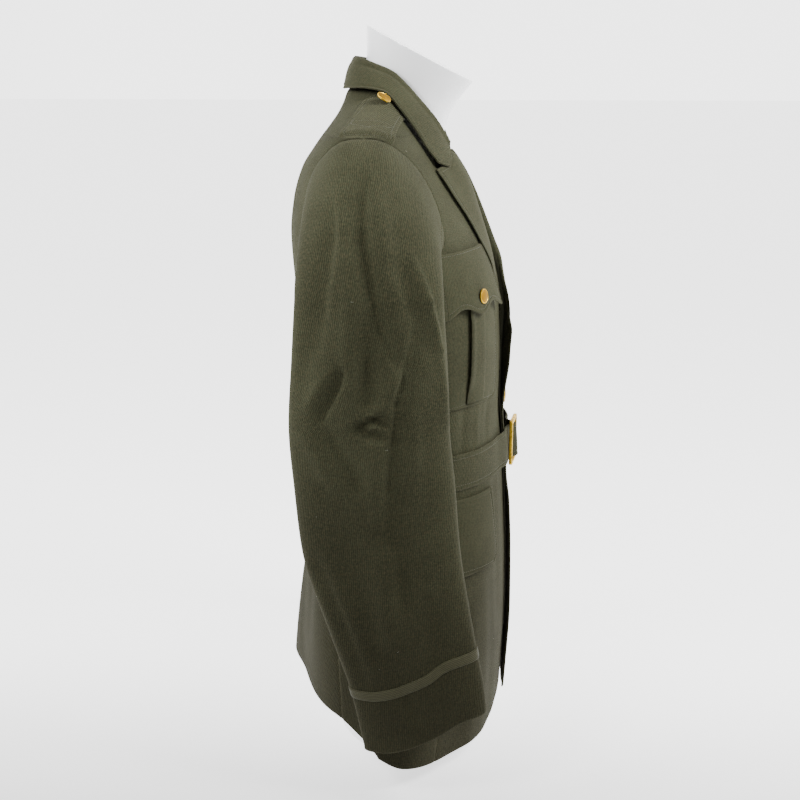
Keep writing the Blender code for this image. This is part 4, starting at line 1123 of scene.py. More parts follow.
def repeat_mesh(piece: bpy.types.Object, spots: Sequence[Matrix]) -> None:
    """Turns a piece's mesh into joined copies of itself.

    Args:
        piece: the object, whose mesh is one of the things to repeat.
        spots: where each copy goes.
    """
    mesh = piece.data
    corners = np.array([v.co[:] for v in mesh.vertices])
    faces = [tuple(face.vertices) for face in mesh.polygons]
    count = len(corners)
    turned = np.array([np.array(spot.to_3x3()) for spot in spots])
    moved = np.array([spot.translation[:] for spot in spots])
    all_corners = (np.einsum("sij,vj->svi", turned, corners) + moved[:, None]).reshape(-1, 3)
    all_faces = [tuple(i + k * count for i in face) for k in range(len(spots)) for face in faces]
    mesh.clear_geometry()
    mesh.from_pydata(all_corners.tolist(), [], all_faces)
    mesh.update()


# ---------------------------------------------------------------- body panels
def hem_height(turn: Array, z: Array) -> Array:
    """Bends the lowest rows of the skirt to the slant of the hem."""
    hem = HEM.at("height", np.abs(turn))
    return np.where(z < 0.25, hem + z * (0.25 - hem) / 0.25, z)


def gap_turn(z: Array) -> Array:
    """Half a seam's gap as a turn."""
    return np.degrees(SEAM_GAP / 2 / TORSO.at("half_width", z))


@dataclass
class BodyPanels:
    """Fronts, side panels and backs."""

    finishes: Finishes
    step: float = 0.0055          # between points
    seam_height: float = float(armhole_height(150.0))
    left_reach: float = -0.030    # where the left front ends, past the middle
    right_reach: float = -0.025
    pieces: dict[str, ClothPiece] = field(default_factory=dict)

    def heights(self, top: float) -> Array:
        """Rows from the hem up: even, then by turns round the armhole, then even again."""
        hem = np.array(Edge.TURNED.offsets) * 1.1
        low = np.linspace(hem[-1], self.seam_height, int(self.seam_height / self.step))
        hole = armhole_height(np.arange(150.0, -0.1, -5.0))
        high = np.linspace(SHOULDER_TIP, NECK_TOP_ROW, 24)
        rows = np.unique(np.round(np.concatenate([hem, low, hole, high, [BREAK_HEIGHT]]), 7))
        return rows[rows <= top + 1e-7]

    def outer_turn(self, z: Array, is_front: bool) -> Array:
        """The panel's edge at the side seam, the armhole and the shoulder seam."""
        sign, pick = (-1, 0) if is_front else (1, 1)
        seam = armhole_turns(np.asarray(self.seam_height))[pick] + sign * gap_turn(z)
        hole = armhole_turns(z)[pick] + sign * gap_turn(z)
        turn = np.where(z > self.seam_height - 1e-6, hole, seam)
        return np.where(z >= SHOULDER_TIP - 1e-6, 90.0 + sign * RIDGE_GAP, turn)

    def front_edge(self, side: Side, z: Array) -> Array:
        """The front's free edge, and above the break its roll line."""
        reach = self.left_reach if side is Side.LEFT else self.right_reach
        roll = np.maximum(LAPEL.at("roll", z) + 0.0006, reach)
        return BODY.turn_at(np.where(z > BREAK_HEIGHT, roll, reach), z)

    def build(self) -> None:
        """Makes the six panels."""
        z = self.heights(NECK_TOP_ROW)[:, None]
        for side in Side:
            shares = spread(0.26, self.step, Edge.STITCHED, Edge.SEAM)[None]
            start, end = self.front_edge(side, z), self.outer_turn(z, True)
            turn = start + (end - start) * shares
            points = BODY.front_point(side.value, turn, hem_height(turn, z))
            self._add(side, "front", points, (Edge.STITCHED, Edge.SEAM, Edge.TURNED, Edge.RAW),
                      side is Side.RIGHT)
            shares = spread(0.22, self.step, Edge.SEAM, Edge.SEAM)[None]
            start, end = self.outer_turn(z, False), 180.0 - gap_turn(z)
            turn = start + (end - start) * shares
            points = BODY.point(side.value, turn, hem_height(turn, z))
            self._add(side, "back", points, (Edge.SEAM, Edge.SEAM, Edge.TURNED, Edge.RAW),
                      side is Side.RIGHT)
            self._build_side(side)

    def _add(self, side: Side, base: str, points: Array, edges: tuple, flips: bool) -> None:
        """Makes one panel."""
        node = side.named(base)
        piece = ClothPiece(node + "_cloth", points, node, self.finishes.wool, edges=edges, flips=flips)
        piece.build()
        self.pieces[node] = piece

    def _build_side(self, side: Side) -> None:
        """The narrow panel under the arm, whose top is the bottom of the armhole."""
        bottom = np.array([150.0, 156.0, 162.0, 168.0, 172.0, 176.0])
        level = armhole_height(bottom)
        front, back = armhole_turns(level)
        turns = np.concatenate([front, [90.0], back[::-1]])
        ends = np.concatenate([level, [float(armhole_height(180.0))], level[::-1]])
        order = np.linspace(0, len(turns) - 1, 33)
        turns = np.interp(order, np.arange(len(turns)), turns)
        ends = np.interp(order, np.arange(len(ends)), ends)
        z = self.heights(self.seam_height)[:, None]
        place = np.repeat(turns[None], len(z), axis=0)
        place[:, :1] += gap_turn(z)
        place[:, -1:] -= gap_turn(z)
        free = 0.600
        share = np.clip((z - free) / (self.seam_height - free), 0.0, 1.0)
        height = np.where(z > free, free + (ends[None] - SEAM_GAP - free) * share, hem_height(place, z))
        points = BODY.point(side.value, place, height)
        self._add(side, "side", points, (Edge.SEAM, Edge.SEAM, Edge.TURNED, Edge.SEAM),
                  side is Side.RIGHT)


# ---------------------------------------------------------------- sleeves
ARM = Table(("z", "centre_x", "centre_y", "half_side", "half_depth"), (
    (0.070, 0.2565, -0.0540, 0.0180, 0.0745), (0.144, 0.2530, -0.0425, 0.0220, 0.0800),
    (0.207, 0.2480, -0.0253, 0.0250, 0.0848), (0.317, 0.2410, 0.0015, 0.0290, 0.0925),
    (0.390, 0.2390, 0.0085, 0.0310, 0.0930), (0.468, 0.2390, 0.0145, 0.0330, 0.0915),
    (0.540, 0.2395, 0.0138, 0.0340, 0.0873), (0.610, 0.2400, 0.0135, 0.0340, 0.0825)))

# Creases of a sleeve, across from -1 at its back edge to 1 at its front edge.
SLEEVE_FOLDS = (
    # the long trough from the sleeve head to the elbow, and the ridge behind it
    Fold(-0.08, 0.745, -0.03, 0.680, 0.0120, 0.0038), Fold(-0.04, 0.680, 0.08, 0.625, 0.0100, 0.0036),
    Fold(0.08, 0.625, 0.22, 0.580, 0.0080, 0.0030), Fold(0.22, 0.580, 0.40, 0.540, 0.0065, 0.0026),
    Fold(-0.18, 0.690, -0.16, 0.495, 0.0120, -0.0024), Fold(0.16, 0.725, 0.26, 0.640, 0.0150, -0.0016),
    # the wedge that sinks towards the elbow and its bright lip
    Fold(0.00, 0.585, -0.02, 0.500, 0.0140, 0.0034), Fold(0.14, 0.560, 0.06, 0.505, 0.0110, 0.0024),
    Fold(0.43, 0.534, 0.19, 0.498, 0.0050, -0.0020), Fold(0.19, 0.496, -0.02, 0.478, 0.0045, -0.0024),
    # the hooked creases of the elbow
    Fold(-0.10, 0.468, 0.06, 0.478, 0.0048, 0.0038), Fold(-0.05, 0.466, 0.19, 0.457, 0.0042, 0.0032),
    Fold(0.06, 0.482, 0.24, 0.473, 0.0045, 0.0030), Fold(0.00, 0.472, 0.12, 0.470, 0.0030, -0.0018),
    # behind the elbow
    Fold(-0.30, 0.530, -0.60, 0.478, 0.0062, 0.0046), Fold(-0.44, 0.530, -0.70, 0.490, 0.0080, -0.0020),
    Fold(-0.58, 0.476, -0.15, 0.408, 0.0110, 0.0026), Fold(-0.70, 0.455, -0.40, 0.400, 0.0120, -0.0018),
    # in front of the elbow and down the forearm
    Fold(0.66, 0.572, 0.44, 0.500, 0.0100, 0.0036), Fold(0.42, 0.494, 0.38, 0.452, 0.0070, 0.0038),
    Fold(0.38, 0.452, 0.24, 0.400, 0.0090, 0.0032), Fold(0.24, 0.398, 0.14, 0.335, 0.0110, 0.0022),
    Fold(0.56, 0.478, 0.46, 0.400, 0.0120, -0.0022), Fold(0.12, 0.445, 0.04, 0.360, 0.0120, -0.0020),
    Fold(0.62, 0.658, 0.79, 0.612, 0.0052, -0.0026), Fold(0.79, 0.612, 0.93, 0.556, 0.0048, -0.0028),
    Fold(0.93, 0.556, 0.99, 0.470, 0.0048, -0.0022), Fold(0.48, 0.645, 0.80, 0.560, 0.0110, 0.0026),
    # the soft folds of the lower sleeve
    Fold(0.10, 0.310, -0.10, 0.215, 0.0120, -0.0018), Fold(0.30, 0.322, 0.16, 0.262, 0.0110, 0.0018),
    Fold(-0.35, 0.330, -0.42, 0.200, 0.0160, 0.0020), Fold(0.50, 0.270, 0.42, 0.180, 0.0150, 0.0016),
    Fold(0.42, 0.294, 0.72, 0.288, 0.0035, 0.0010), Fold(0.72, 0.288, 0.98, 0.287, 0.0035, 0.0010),
    Fold(-0.80, 0.300, -0.72, 0.165, 0.0110, 0.0026), Fold(-0.20, 0.170, -0.05, 0.110, 0.0140, 0.0014),
    # round the sleeve head
    Fold(-0.40, 0.700, -0.52, 0.640, 0.0130, 0.0026), Fold(-0.55, 0.640, -0.62, 0.560, 0.0120, 0.0020),
    Fold(-0.28, 0.725, -0.42, 0.600, 0.0100, -0.0014), Fold(0.42, 0.715, 0.60, 0.640, 0.0140, 0.0014),
    Fold(-0.72, 0.600, -0.80, 0.520, 0.0120, 0.0022),
)


@dataclass
class Sleeve:
    """A two-piece sleeve with the braid round its cuff."""

    side: Side
    finishes: Finishes
    arm_top: float = 0.610
    crease_gain: float = 2.2
    braid_rise: float = 0.068
    braid_width: float = 0.012
    turn_step: float = 2.5
    top: ClothPiece | None = None

    def arm_point(self, turn: Array, z: Array) -> Array:
        """Places round the arm; 0 is outermost, 90 the front edge and 180 the inner side."""
        across, ahead = np.cos(np.radians(turn)), np.sin(np.radians(turn))
        x = ARM.at("centre_x", z) + ARM.at("half_side", z) * signed_power(across, 0.85)
        y = ARM.at("centre_y", z) - ARM.at("half_depth", z) * signed_power(ahead, 0.95)
        return places(self.side.value * x, y, z)

    def cuff_height(self, turn: Array) -> Array:
        """Height of the slanted cuff edge."""
        return CUFF.at("height", (1 + np.sin(np.radians(turn))) / 2)

    def crease(self, turn: Array, z: Array) -> Array:
        """Depth of the creases; the hidden inner side has them fainter and higher."""
        fore, out = np.sin(np.radians(turn)), np.cos(np.radians(turn))
        shift = 0.0 if self.side is Side.RIGHT else -0.018
        half = 0.090
        outer = sum(fold.at(fore, z, half, shift) for fold in SLEEVE_FOLDS)
        inner = sum(fold.at(fore * 0.9 + 0.08, z, half, shift + 0.030) for fold in SLEEVE_FOLDS) * 0.5
        depth = np.where(out < 0, inner, outer)
        return self.crease_gain * depth * np.minimum(np.abs(out) * 1.9, 1.0)

    def armhole_point(self, turn: Array) -> Array:
        """The sleeve's own edge, just inside the body's edge."""
        scale = 0.995
        z = armhole_height(turn, scale)
        front, back = armhole_turns(z, scale)
        place = np.where(np.sin(np.radians(turn)) > 0, front, back)
        return BODY.point(self.side.value, place, z, 0.0011 * (1 - np.cos(np.radians(turn))) / 2 - 0.0002)

    def point(self, turn: Array, place: Array) -> Array:
        """Places on the sleeve.

        Args:
            turn: degrees round the arm.
            place: 0 at the armhole, 1 at the arm's top and 2 at the cuff edge.

        Returns:
            The points.
        """
        turn, place = np.broadcast_arrays((turn + 180.0) % 360.0 - 180.0, place)
        sign = self.side.value
        start, end = self.armhole_point(turn), self.arm_point(turn, np.full(turn.shape, self.arm_top))
        high = ((1 + np.cos(np.radians(turn))) / 2)[..., None]
        leave = (end - start) * 0.6 + np.array([sign * 0.100, 0.0, 0.090]) * high
        arrive = places(0.0, 0.0, -0.6 * (start[..., 2] - end[..., 2]) - 0.004)
        t = np.minimum(place, 1.0)[..., None]
        cap = (start * (1 + 2 * t) * (1 - t) ** 2 + end * t * t * (3 - 2 * t)
               + leave * t * (1 - t) ** 2 + arrive * t * t * (t - 1))
        low = self.cuff_height(turn)
        z = self.arm_top + (low - self.arm_top) * np.clip(place - 1.0, 0.0, 1.0)
        point = np.where((place <= 1.0)[..., None], cap, self.arm_point(turn, z))
        height = point[..., 2]
        inward = places(sign * ARM.at("centre_x", height), ARM.at("centre_y", height), height) - point
        deep = self.crease(turn, height) * ease(place * 2)
        roll = 0.0022 * np.exp(-((place - 0.09) / 0.06) ** 2) * high[..., 0] ** 2
        return point + unit(inward) * (deep - roll)[..., None]

    def build(self) -> None:
        """Makes the two pieces and the braid."""
        cap = np.concatenate([[0.0, 0.008, 0.018, 0.034], np.linspace(0.055, 1.0, 30)])
        arm = np.concatenate([np.linspace(1.0, 1.985, 108)[1:], [1.992, 1.9965, 1.9985, 2.0]])
        place = np.concatenate([cap, arm])[:, None]
        seams = (Edge.SEAM, Edge.SEAM, Edge.TURNED, Edge.SEAM)
        for base, first, last in (("sleeve_top", -SLEEVE_SEAM, SLEEVE_SEAM),
                                  ("sleeve_under", SLEEVE_SEAM, 360.0 - SLEEVE_SEAM)):
            count = int((last - first) / self.turn_step)
            turn = np.concatenate([[first + 0.7, first + 1.6],
                                   np.linspace(first, last, count + 1)[1:-1],
                                   [last - 1.6, last - 0.7]])[None]
            turn = np.concatenate([[[first + 0.12]], turn, [[last - 0.12]]], axis=1)
            node = self.side.named(base)
            points = self.point(turn, place)[::-1]
            piece = ClothPiece(node + "_cloth", points, node, self.finishes.wool, edges=seams,
                               flips=self.side is Side.LEFT)
            piece.build()
            if base == "sleeve_top":
                self.top = piece
        self._build_braid()

    def _build_braid(self) -> None:
        """The band round the sleeve above its cuff edge."""
        turn = np.linspace(-180.0, 180.0, 145)[None]
        turn = np.where(turn == 180.0, -180.0, turn)
        rises = self.braid_rise + self.braid_width * spread(self.braid_width, 0.0024, Edge.TURNED,
                                                            Edge.TURNED)[:, None]
        place = 2.0 - rises / (self.arm_top - self.cuff_height(turn))
        points = self.point(turn, place)
        z = points[..., 2]
        away = points - places(self.side.value * ARM.at("centre_x", z), ARM.at("centre_y", z), z)
        away[..., 0] *= 4.0
        away[..., 2] = 0.0
        points = points + unit(away) * (BRAID_CLOTH + 0.0003)
        node = self.side.named("cuff_braid")
        ClothPiece(node + "_mohair", points, node, self.finishes.braid, "cuff_braid", BRAID_CLOTH,
                   (Edge.RAW, Edge.RAW, Edge.TURNED, Edge.TURNED), is_closed=True,
                   flips=self.side is Side.LEFT).build()


# ---------------------------------------------------------------- collar, lapels and straps
COLLAR = Table(
    ("along", "seam_x", "seam_y", "seam_z", "fold_x", "fold_y", "fold_z",
     "edge_x", "edge_y", "edge_z"), (
        (0.00, 0.000, 0.0620, 0.8270, 0.000, 0.0500, 0.8670, 0.000, 0.0690, 0.8290),
        (0.16, 0.030, 0.0570, 0.8270, 0.028, 0.0440, 0.8655, 0.044, 0.0625, 0.8300),
        (0.32, 0.052, 0.0430, 0.8270, 0.049, 0.0290, 0.8600, 0.077, 0.0420, 0.8310),
        (0.46, 0.0635, 0.0180, 0.8270, 0.0605, 0.0040, 0.8500, 0.095, 0.0120, 0.8270),
        (0.58, 0.0620, -0.0050, 0.8220, 0.0605, -0.0120, 0.8360, 0.101, -0.0060, 0.8100),
        (0.72, 0.0550, -0.0250, 0.8050, 0.0560, -0.0290, 0.8170, 0.107, -0.0260, 0.7850),
        (0.86, 0.0500, -0.0430, 0.7850, 0.0505, -0.0475, 0.7950, 0.112, -0.0420, 0.7610),
        (1.00, 0.0460, -0.0600, 0.7600, 0.0450, -0.0650, 0.7670, 0.1125, -0.0540, 0.7470)))


@dataclass
class Collar:
    """One piece with its stand, its fold and its fall."""

    finishes: Finishes
    crown: float = 0.0038     # half the thickness of the fold
    gorge_reach: float = 0.0155   # of the front end past its own corner
    gorge_from: float = 0.78      # share along the collar where that begins
    left_share: float = 0.45      # of that reach at the left end
    left_back: float = 0.0045     # how far the left end lies back
    left_sink: float = 0.0045     # and how much lower its fold is

    def section(self, side: int, along: Array) -> Array:
        """The collar's sections, from the neck seam up over the fold and down the fall."""
        seam, fold, edge = (places(side * COLLAR.at(line + "_x", along), COLLAR.at(line + "_y", along),
                                   COLLAR.at(line + "_z", along)) for line in ("seam", "fold", "edge"))
        away = edge - fold
        away[:, 2] = 0.0
        away, up, half = unit(away), np.array([0.0, 0.0, 1.0]), self.crown
        crown = fold + away * half
        fall = crown + away * half - up * half
        front = ease((along - self.gorge_from) / (1 - self.gorge_from))[:, None]
        reach = self.gorge_reach * (1.0 if side < 0 else self.left_share)
        gorge = front * np.array([0.0, -0.62, -0.78]) * reach
        if side > 0:
            back = front * np.array([0.0, self.left_back, 0.0])
            sunk = front * np.array([0.0, self.left_back + 0.0010, -self.left_sink])
            fold, edge, crown, fall = fold + sunk, edge + back, crown + sunk, fall + sunk
        line = [seam, seam + (fold - seam) * 0.55 - away * 0.0008, fold - up * half,
                fold + away * half * 0.3 - up * half * 0.3, crown,
                fall - away * half * 0.3 + up * half * 0.7, fall + gorge * 0.05]
        for share, belly, reach in ((0.20, 0.0018, 0.40), (0.40, 0.0022, 0.80), (0.58, 0.0018, 1.00),
                                    (0.78, 0.0010, 0.62), (1.00, 0.0, 0.0)):
            line.append(fall + (edge - fall) * share + away * belly + gorge * reach)
        return np.stack(line, axis=1)

    def build(self) -> ClothPiece:
        """Makes the collar.

        Returns:
            The finished piece.
        """
        half = spread(0.17, 0.005, Edge.RAW, Edge.STITCHED)
        right = self.section(-1, half[::-1])
        left = self.section(1, half[1:])
        lines = smooth_line(np.concatenate([right, left]), 200)
        keep = spread(0.095, 0.0035, Edge.SEAM, Edge.STITCHED)
        whole = np.linspace(0.0, 1.0, 200)
        points = np.stack([np.stack([np.interp(keep, whole, line[:, k]) for k in range(3)], axis=-1)
                           for line in lines])
        piece = ClothPiece("collar_cloth", points.swapaxes(0, 1)[:, ::-1], "collar", self.finishes.smooth_wool,
                           edges=(Edge.STITCHED, Edge.STITCHED, Edge.SEAM, Edge.STITCHED),
                           held="folded")
        piece.build()
        return piece


@dataclass
class Lapel:
    """A turned-back lapel that meets the collar at its gorge."""

    side: Side
    finishes: Finishes
    gorge_tip: float = 0.7392
    gorge_bend: float = 0.7404
    gorge_roll: float = 0.7575
    bend_share: float = 0.62
    start: float = 0.551
    straight_top: float = 0.7265
    swell: float = 0.0090         # of the roll near the gorge
    edge_lift: float = 0.0022     # of the free edge off the front
    left_swell: float = 0.35      # of the left roll against the right one
    left_drop: float = 0.0090     # of the left gorge's inner end against the right one

    def section(self, z: Array, columns: int = 4) -> tuple[Array, Array]:
        """Sections from under the roll, over it and out to the edge.

        Args:
            z: heights, one for each section.
            columns: how many points the flat part has.

        Returns:
            Distances from the middle of the coat, and how far each stands out.
        """
        roll, edge = LAPEL.at("roll", z), LAPEL.at("edge", z)
        width = edge - roll
        full = ease((roll - 0.002) / 0.022)
        high = ease((z - 0.655) / 0.075) * (1 - 0.95 * ease((z - 0.742) / 0.014))
        if self.side is Side.LEFT:
            high = high * self.left_swell
        sink = 0.06 + 0.94 * ease((z - self.start) / 0.034)
        low = (ON_TOP + self.edge_lift * ease((z - 0.600) / 0.030) * ease((0.745 - z) / 0.020)) * sink
        crest = (ON_TOP + 0.0064 * full) if self.side is Side.RIGHT else (
            ON_TOP + 0.0010 + 0.0038 * ease((z - 0.600) / 0.04))
        crest = (crest + self.swell * high) * sink
        tuck = np.minimum(0.0028, width * 0.2)
        x = [roll - tuck * 0.62, roll - tuck, roll + tuck * 0.4]
        out = [np.full_like(z, -0.0010), crest * 0.55, crest]
        for k in range(1, columns + 1):
            share = k / columns
            x.append(roll + tuck * 0.4 + (width - tuck * 0.4) * share)
            out.append(low + (crest - low) * (1 - ease(share * 1.25))
                       + (0.0014 + 0.0038 * high) * math.sin(math.pi * share) * full)
        return np.stack(x, axis=-1), np.stack(out, axis=-1)

    def top_height(self, share: Array) -> Array:
        """Height of the gorge seam and the notch edge across the lapel."""
        roll = self.gorge_roll - (self.left_drop if self.side is Side.LEFT else 0.0)
        inner = roll + (self.gorge_bend - roll) * np.minimum(share / self.bend_share, 1.0)
        outer = self.gorge_bend + (self.gorge_tip - self.gorge_bend) * (
            share - self.bend_share) / (1 - self.bend_share)
        return np.where(share > self.bend_share, outer, inner)

    def build(self) -> ClothPiece:
        """Makes the lapel.

        Returns:
            The finished piece.
        """
        flat = 24
        across = np.concatenate([[0.0, 0.0, 0.0], np.linspace(0, 1, flat + 1)[1:]])
        rise = spread(0.20, 0.005, Edge.RAW, Edge.STITCHED)
        top = self.top_height(across)
        split = (self.straight_top - self.start) / (self.top_height(np.array([0.3]))[0] - self.start)
        rows = []
        for share in rise:
            if share <= split:
                z = np.full(len(across), self.start + (self.straight_top - self.start) * share / split)
            else:
                z = self.straight_top + (top - self.straight_top) * (share - split) / (1 - split)
            x, out = self.section(z, flat)
            picked = np.arange(len(across))
            x, out = x[picked, picked], out[picked, picked]
            rows.append(BODY.front_point(self.side.value, BODY.turn_at(x, z), z, out))
        lines = smooth_line(np.array(rows), 160)
        keep = spread(0.080, 0.0032, Edge.RAW, Edge.STITCHED)
        whole = np.linspace(0.0, 1.0, 160)
        points = np.stack([np.stack([np.interp(keep, whole, line[:, k]) for k in range(3)], axis=-1)
                           for line in lines])
        node = self.side.named("lapel")
        piece = ClothPiece(node + "_cloth", points, node, self.finishes.smooth_wool,
                           edges=(Edge.RAW, Edge.STITCHED, Edge.RAW, Edge.STITCHED),
                           flips=self.side is Side.RIGHT, held="folded")
        piece.build()
        return piece


@dataclass
class ShoulderStrap:
    """A strap from the sleeve seam to its point under the collar."""

    side: Side
    finishes: Finishes
    tip_x: float = 0.083
    end_x: float = 0.1945
    stand: float = ON_TOP + 0.0003
    button_x: float = 0.106

    def line_y(self, x: Array) -> Array:
        """The strap's middle line."""
        return 0.011 + (x - 0.100) * 0.125

    def build(self) -> tuple[ClothPiece, Array, Array]:
        """Makes the strap.

        Returns:
            The piece, and the seat of its button with its normal.
        """
        share = spread(0.11, 0.0045, Edge.STITCHED, Edge.SEAM)[:, None]
        across = spread(0.055, 0.005, Edge.STITCHED, Edge.STITCHED)[None] * 2 - 1
        x = self.tip_x + (self.end_x - self.tip_x) * share
        half = (0.022 + 0.0085 * share) * np.sqrt(1 - np.maximum(0.16 - share, 0) ** 2 / 0.0256 * 0.93)
        stand = self.stand - 0.0030 * ease((share - 0.93) / 0.07)
        point, _ = BODY.shoulder_point(x - 0.0085 * across ** 2 * share,
                                       self.line_y(x) + across * half, stand)
        point[..., 0] *= self.side.value
        node = self.side.named("shoulder_strap")
        piece = ClothPiece(node + "_cloth", point, node, self.finishes.wool,
                           edges=(Edge.STITCHED, Edge.STITCHED, Edge.STITCHED, Edge.SEAM),
                           flips=self.side is Side.LEFT, held="laid")
        piece.build()
        seat, normal = BODY.shoulder_point(np.array(self.button_x),
                                           np.array(self.line_y(self.button_x)), self.stand)
        mirror = np.array([self.side.value, 1.0, 1.0])
        return piece, seat * mirror, normal * mirror


# ---------------------------------------------------------------- pockets
@dataclass
class ChestPocket:
    """Patch pocket with a box pleat and a flap with three points."""

    side: Side
    finishes: Finishes
    middle_x: float = 0.1345
    lean: float = 0.055
    half: float = 0.0620
    seam_z: float = 0.648
    low_z: float = 0.460
    point_z: float = 0.5735
    scallop_z: float = 0.5835
    pleat_shift: float = 0.001
    pleat_gape: float = 0.0023     # of the pleat's rear edge off the patch
    button_shift: float = -0.005
    pleat_half: float = 0.017
    flap_stand: float = ON_TOP + 0.0040
    button_rise: float = 0.019     # from the flap's point to its button

    def place(self, z: Array, distance: Array, out: Array) -> Array:
        """Places on the pocket, at distances from its middle.

        Args:
            z: heights.
            distance: how far round the body from the pocket's middle.
            out: how far off the front's outer face.

        Returns:
            The points.
        """
        x = self.middle_x - self.lean * (self.seam_z - z)
        turn = BODY.turn_along(x, z, distance)
        reach = BODY.ring(TORSO, 1, turn, z)[..., 0]
        step = 0.0026 * ease((0.074 - reach) / 0.022) if self.side is Side.LEFT else 0.0
        return BODY.front_point(self.side.value, turn, z, out + step)

    def _piece(self, base: str, points: Array, edges: tuple) -> ClothPiece:
        """Makes one piece of the pocket."""
        node = self.side.named(base)
        piece = ClothPiece(node + "_cloth", points, node, self.finishes.smooth_wool, edges=edges,
                           flips=self.side is Side.RIGHT, held="laid")
        piece.build()
        return piece

    def build(self) -> tuple[list[ClothPiece], Array, Array]:
        """Makes the patch, its pleat and its flap.

        Returns:
            The pieces, and the seat of the button with its normal.
        """
        stitched = Edge.STITCHED
        z = self.low_z + (self.seam_z - 0.002 - self.low_z) * spread(0.186, 0.006, stitched, Edge.RAW)
        across = spread(0.110, 0.006, stitched, stitched)[None] * 2 - 1
        z = z[:, None]
        corner = 0.014 * (1 - np.sqrt(np.clip(1 - np.clip((self.low_z + 0.014 - z) / 0.014, 0, 0.995) ** 2,
                                              0, 1)))
        patch = self._piece("chest_pocket", self.place(z, (self.half - corner) * across, ON_TOP),
                            (stitched, stitched, stitched, Edge.RAW))
        z = np.linspace(self.low_z + 0.005, self.point_z + 0.011, 26)[:, None]
        across = np.linspace(-1, 1, 15)[None]
        slack = 0.0011 * (1 - across ** 6) * ease((z - self.low_z - 0.008) / 0.05)
        slack = slack + self.pleat_gape * ease((across - 0.25) / 0.75) * ease((z - self.low_z - 0.006) / 0.04)
        pleat = self._piece("pocket_pleat", self.place(z, self.pleat_shift + self.pleat_half * across,
                                                       2 * ON_TOP - 0.0004 + slack),
                            (Edge.TURNED, Edge.TURNED, Edge.RAW, Edge.RAW))
        share = spread(0.072, 0.005, Edge.SEAM, stitched)[:, None]
        across = spread(0.110, 0.0045, stitched, stitched)[None] * 2 - 1
        low = (self.point_z + self.scallop_z) / 2 - (self.scallop_z - self.point_z) / 2 * np.cos(
            2 * math.pi * across)
        z = low + (self.seam_z - low) * (1 - share)
        buckle = 0.0008 * np.cos(2 * math.pi * across) * share ** 2
        points = self.place(z, (self.half - 0.001 + 0.002 * share) * across,
                            2 * ON_TOP + self.flap_stand * share + buckle)
        flap = self._piece("chest_flap", points[::-1], (stitched, stitched, stitched, Edge.SEAM))
        z = self.point_z + self.button_rise
        share = (self.seam_z - z) / (self.seam_z - self.point_z)
        seat = self.place(np.array([z]), np.array([self.button_shift]),
                          2 * ON_TOP + self.flap_stand * share)[0]
        turn = BODY.turn_at(np.array([abs(seat[0])]), np.array([z]))
        normal = BODY.normal(np.array([self.side.value]), turn, np.array([z]))[0]
        return [patch, pleat, flap], seat, normal


@dataclass
class LowerFlap:
    """The plain flap of a lower pocket, which wraps to the side under the arm."""

    side: Side
    finishes: Finishes
    start_x: float = 0.096
    length: float = 0.190
    top_z: float = 0.347
    low_z: float = 0.254
    corner: float = 0.022
    corner_share: float = 0.24
    button_rise: float = 0.020
    button_shift: float = 0.010    # of the button behind the flap's middle

    def stand(self, share: Array) -> Array:
        """How far the flap stands off the front, from its seam to its lower edge."""
        return ON_TOP + 0.0004 + 0.002 * share

    def place(self, z: Array, distance: Array, out: Array) -> Array:
        """Places on the flap, at distances round the body from its front edge."""
        turn = BODY.turn_along(self.start_x, z, distance)
        return BODY.front_point(self.side.value, turn, z, out)

    def build(self) -> tuple[ClothPiece, Array, Array]:
        """Makes the flap.

        Returns:
            The piece, and the seat of its button with its normal.
        """
        share = spread(self.top_z - self.low_z, 0.0045, Edge.STITCHED, Edge.STITCHED)[:, None]
        z = self.top_z + (self.low_z - self.top_z) * share
        past = np.maximum(share - (1 - self.corner_share), 0) / self.corner_share
        corner = self.corner * (1 - np.sqrt(1 - past ** 2 * 0.97))
        across = spread(self.length, 0.0055, Edge.STITCHED, Edge.STITCHED)[None]
        distance = corner + (self.length - 2 * corner) * across
        points = self.place(z, distance, self.stand(share))
        node = self.side.named("lower_flap")
        piece = ClothPiece(node + "_cloth", points[::-1], node, self.finishes.smooth_wool,
                           edges=(Edge.STITCHED, Edge.STITCHED, Edge.STITCHED, Edge.STITCHED),
                           flips=self.side is Side.RIGHT, held="laid")
        piece.build()
        z = np.array([self.low_z + self.button_rise])
        share = (self.top_z - z) / (self.top_z - self.low_z)
        middle = np.array([self.length / 2 + self.button_shift])
        seat = self.place(z, middle, self.stand(share))[0]
        turn = BODY.turn_along(self.start_x, z, middle)
        return piece, seat, BODY.normal(np.array([self.side.value]), turn, z)[0]


# ---------------------------------------------------------------- belt and buckle
BUCKLE_THICK = 0.0044
BELT_OUT = ON_TOP + 0.0004                    # outer face of the belt, off the body
FRONT_STACK = ON_TOP + 0.0034                 # the two fronts that lie under it at the buckle
BUCKLE_FACE = BELT_OUT + FRONT_STACK + 0.0008 + BUCKLE_THICK
BELT_BRIDGE = BUCKLE_THICK + 0.0046 + ON_TOP  # its rise over the buckle's middle bar


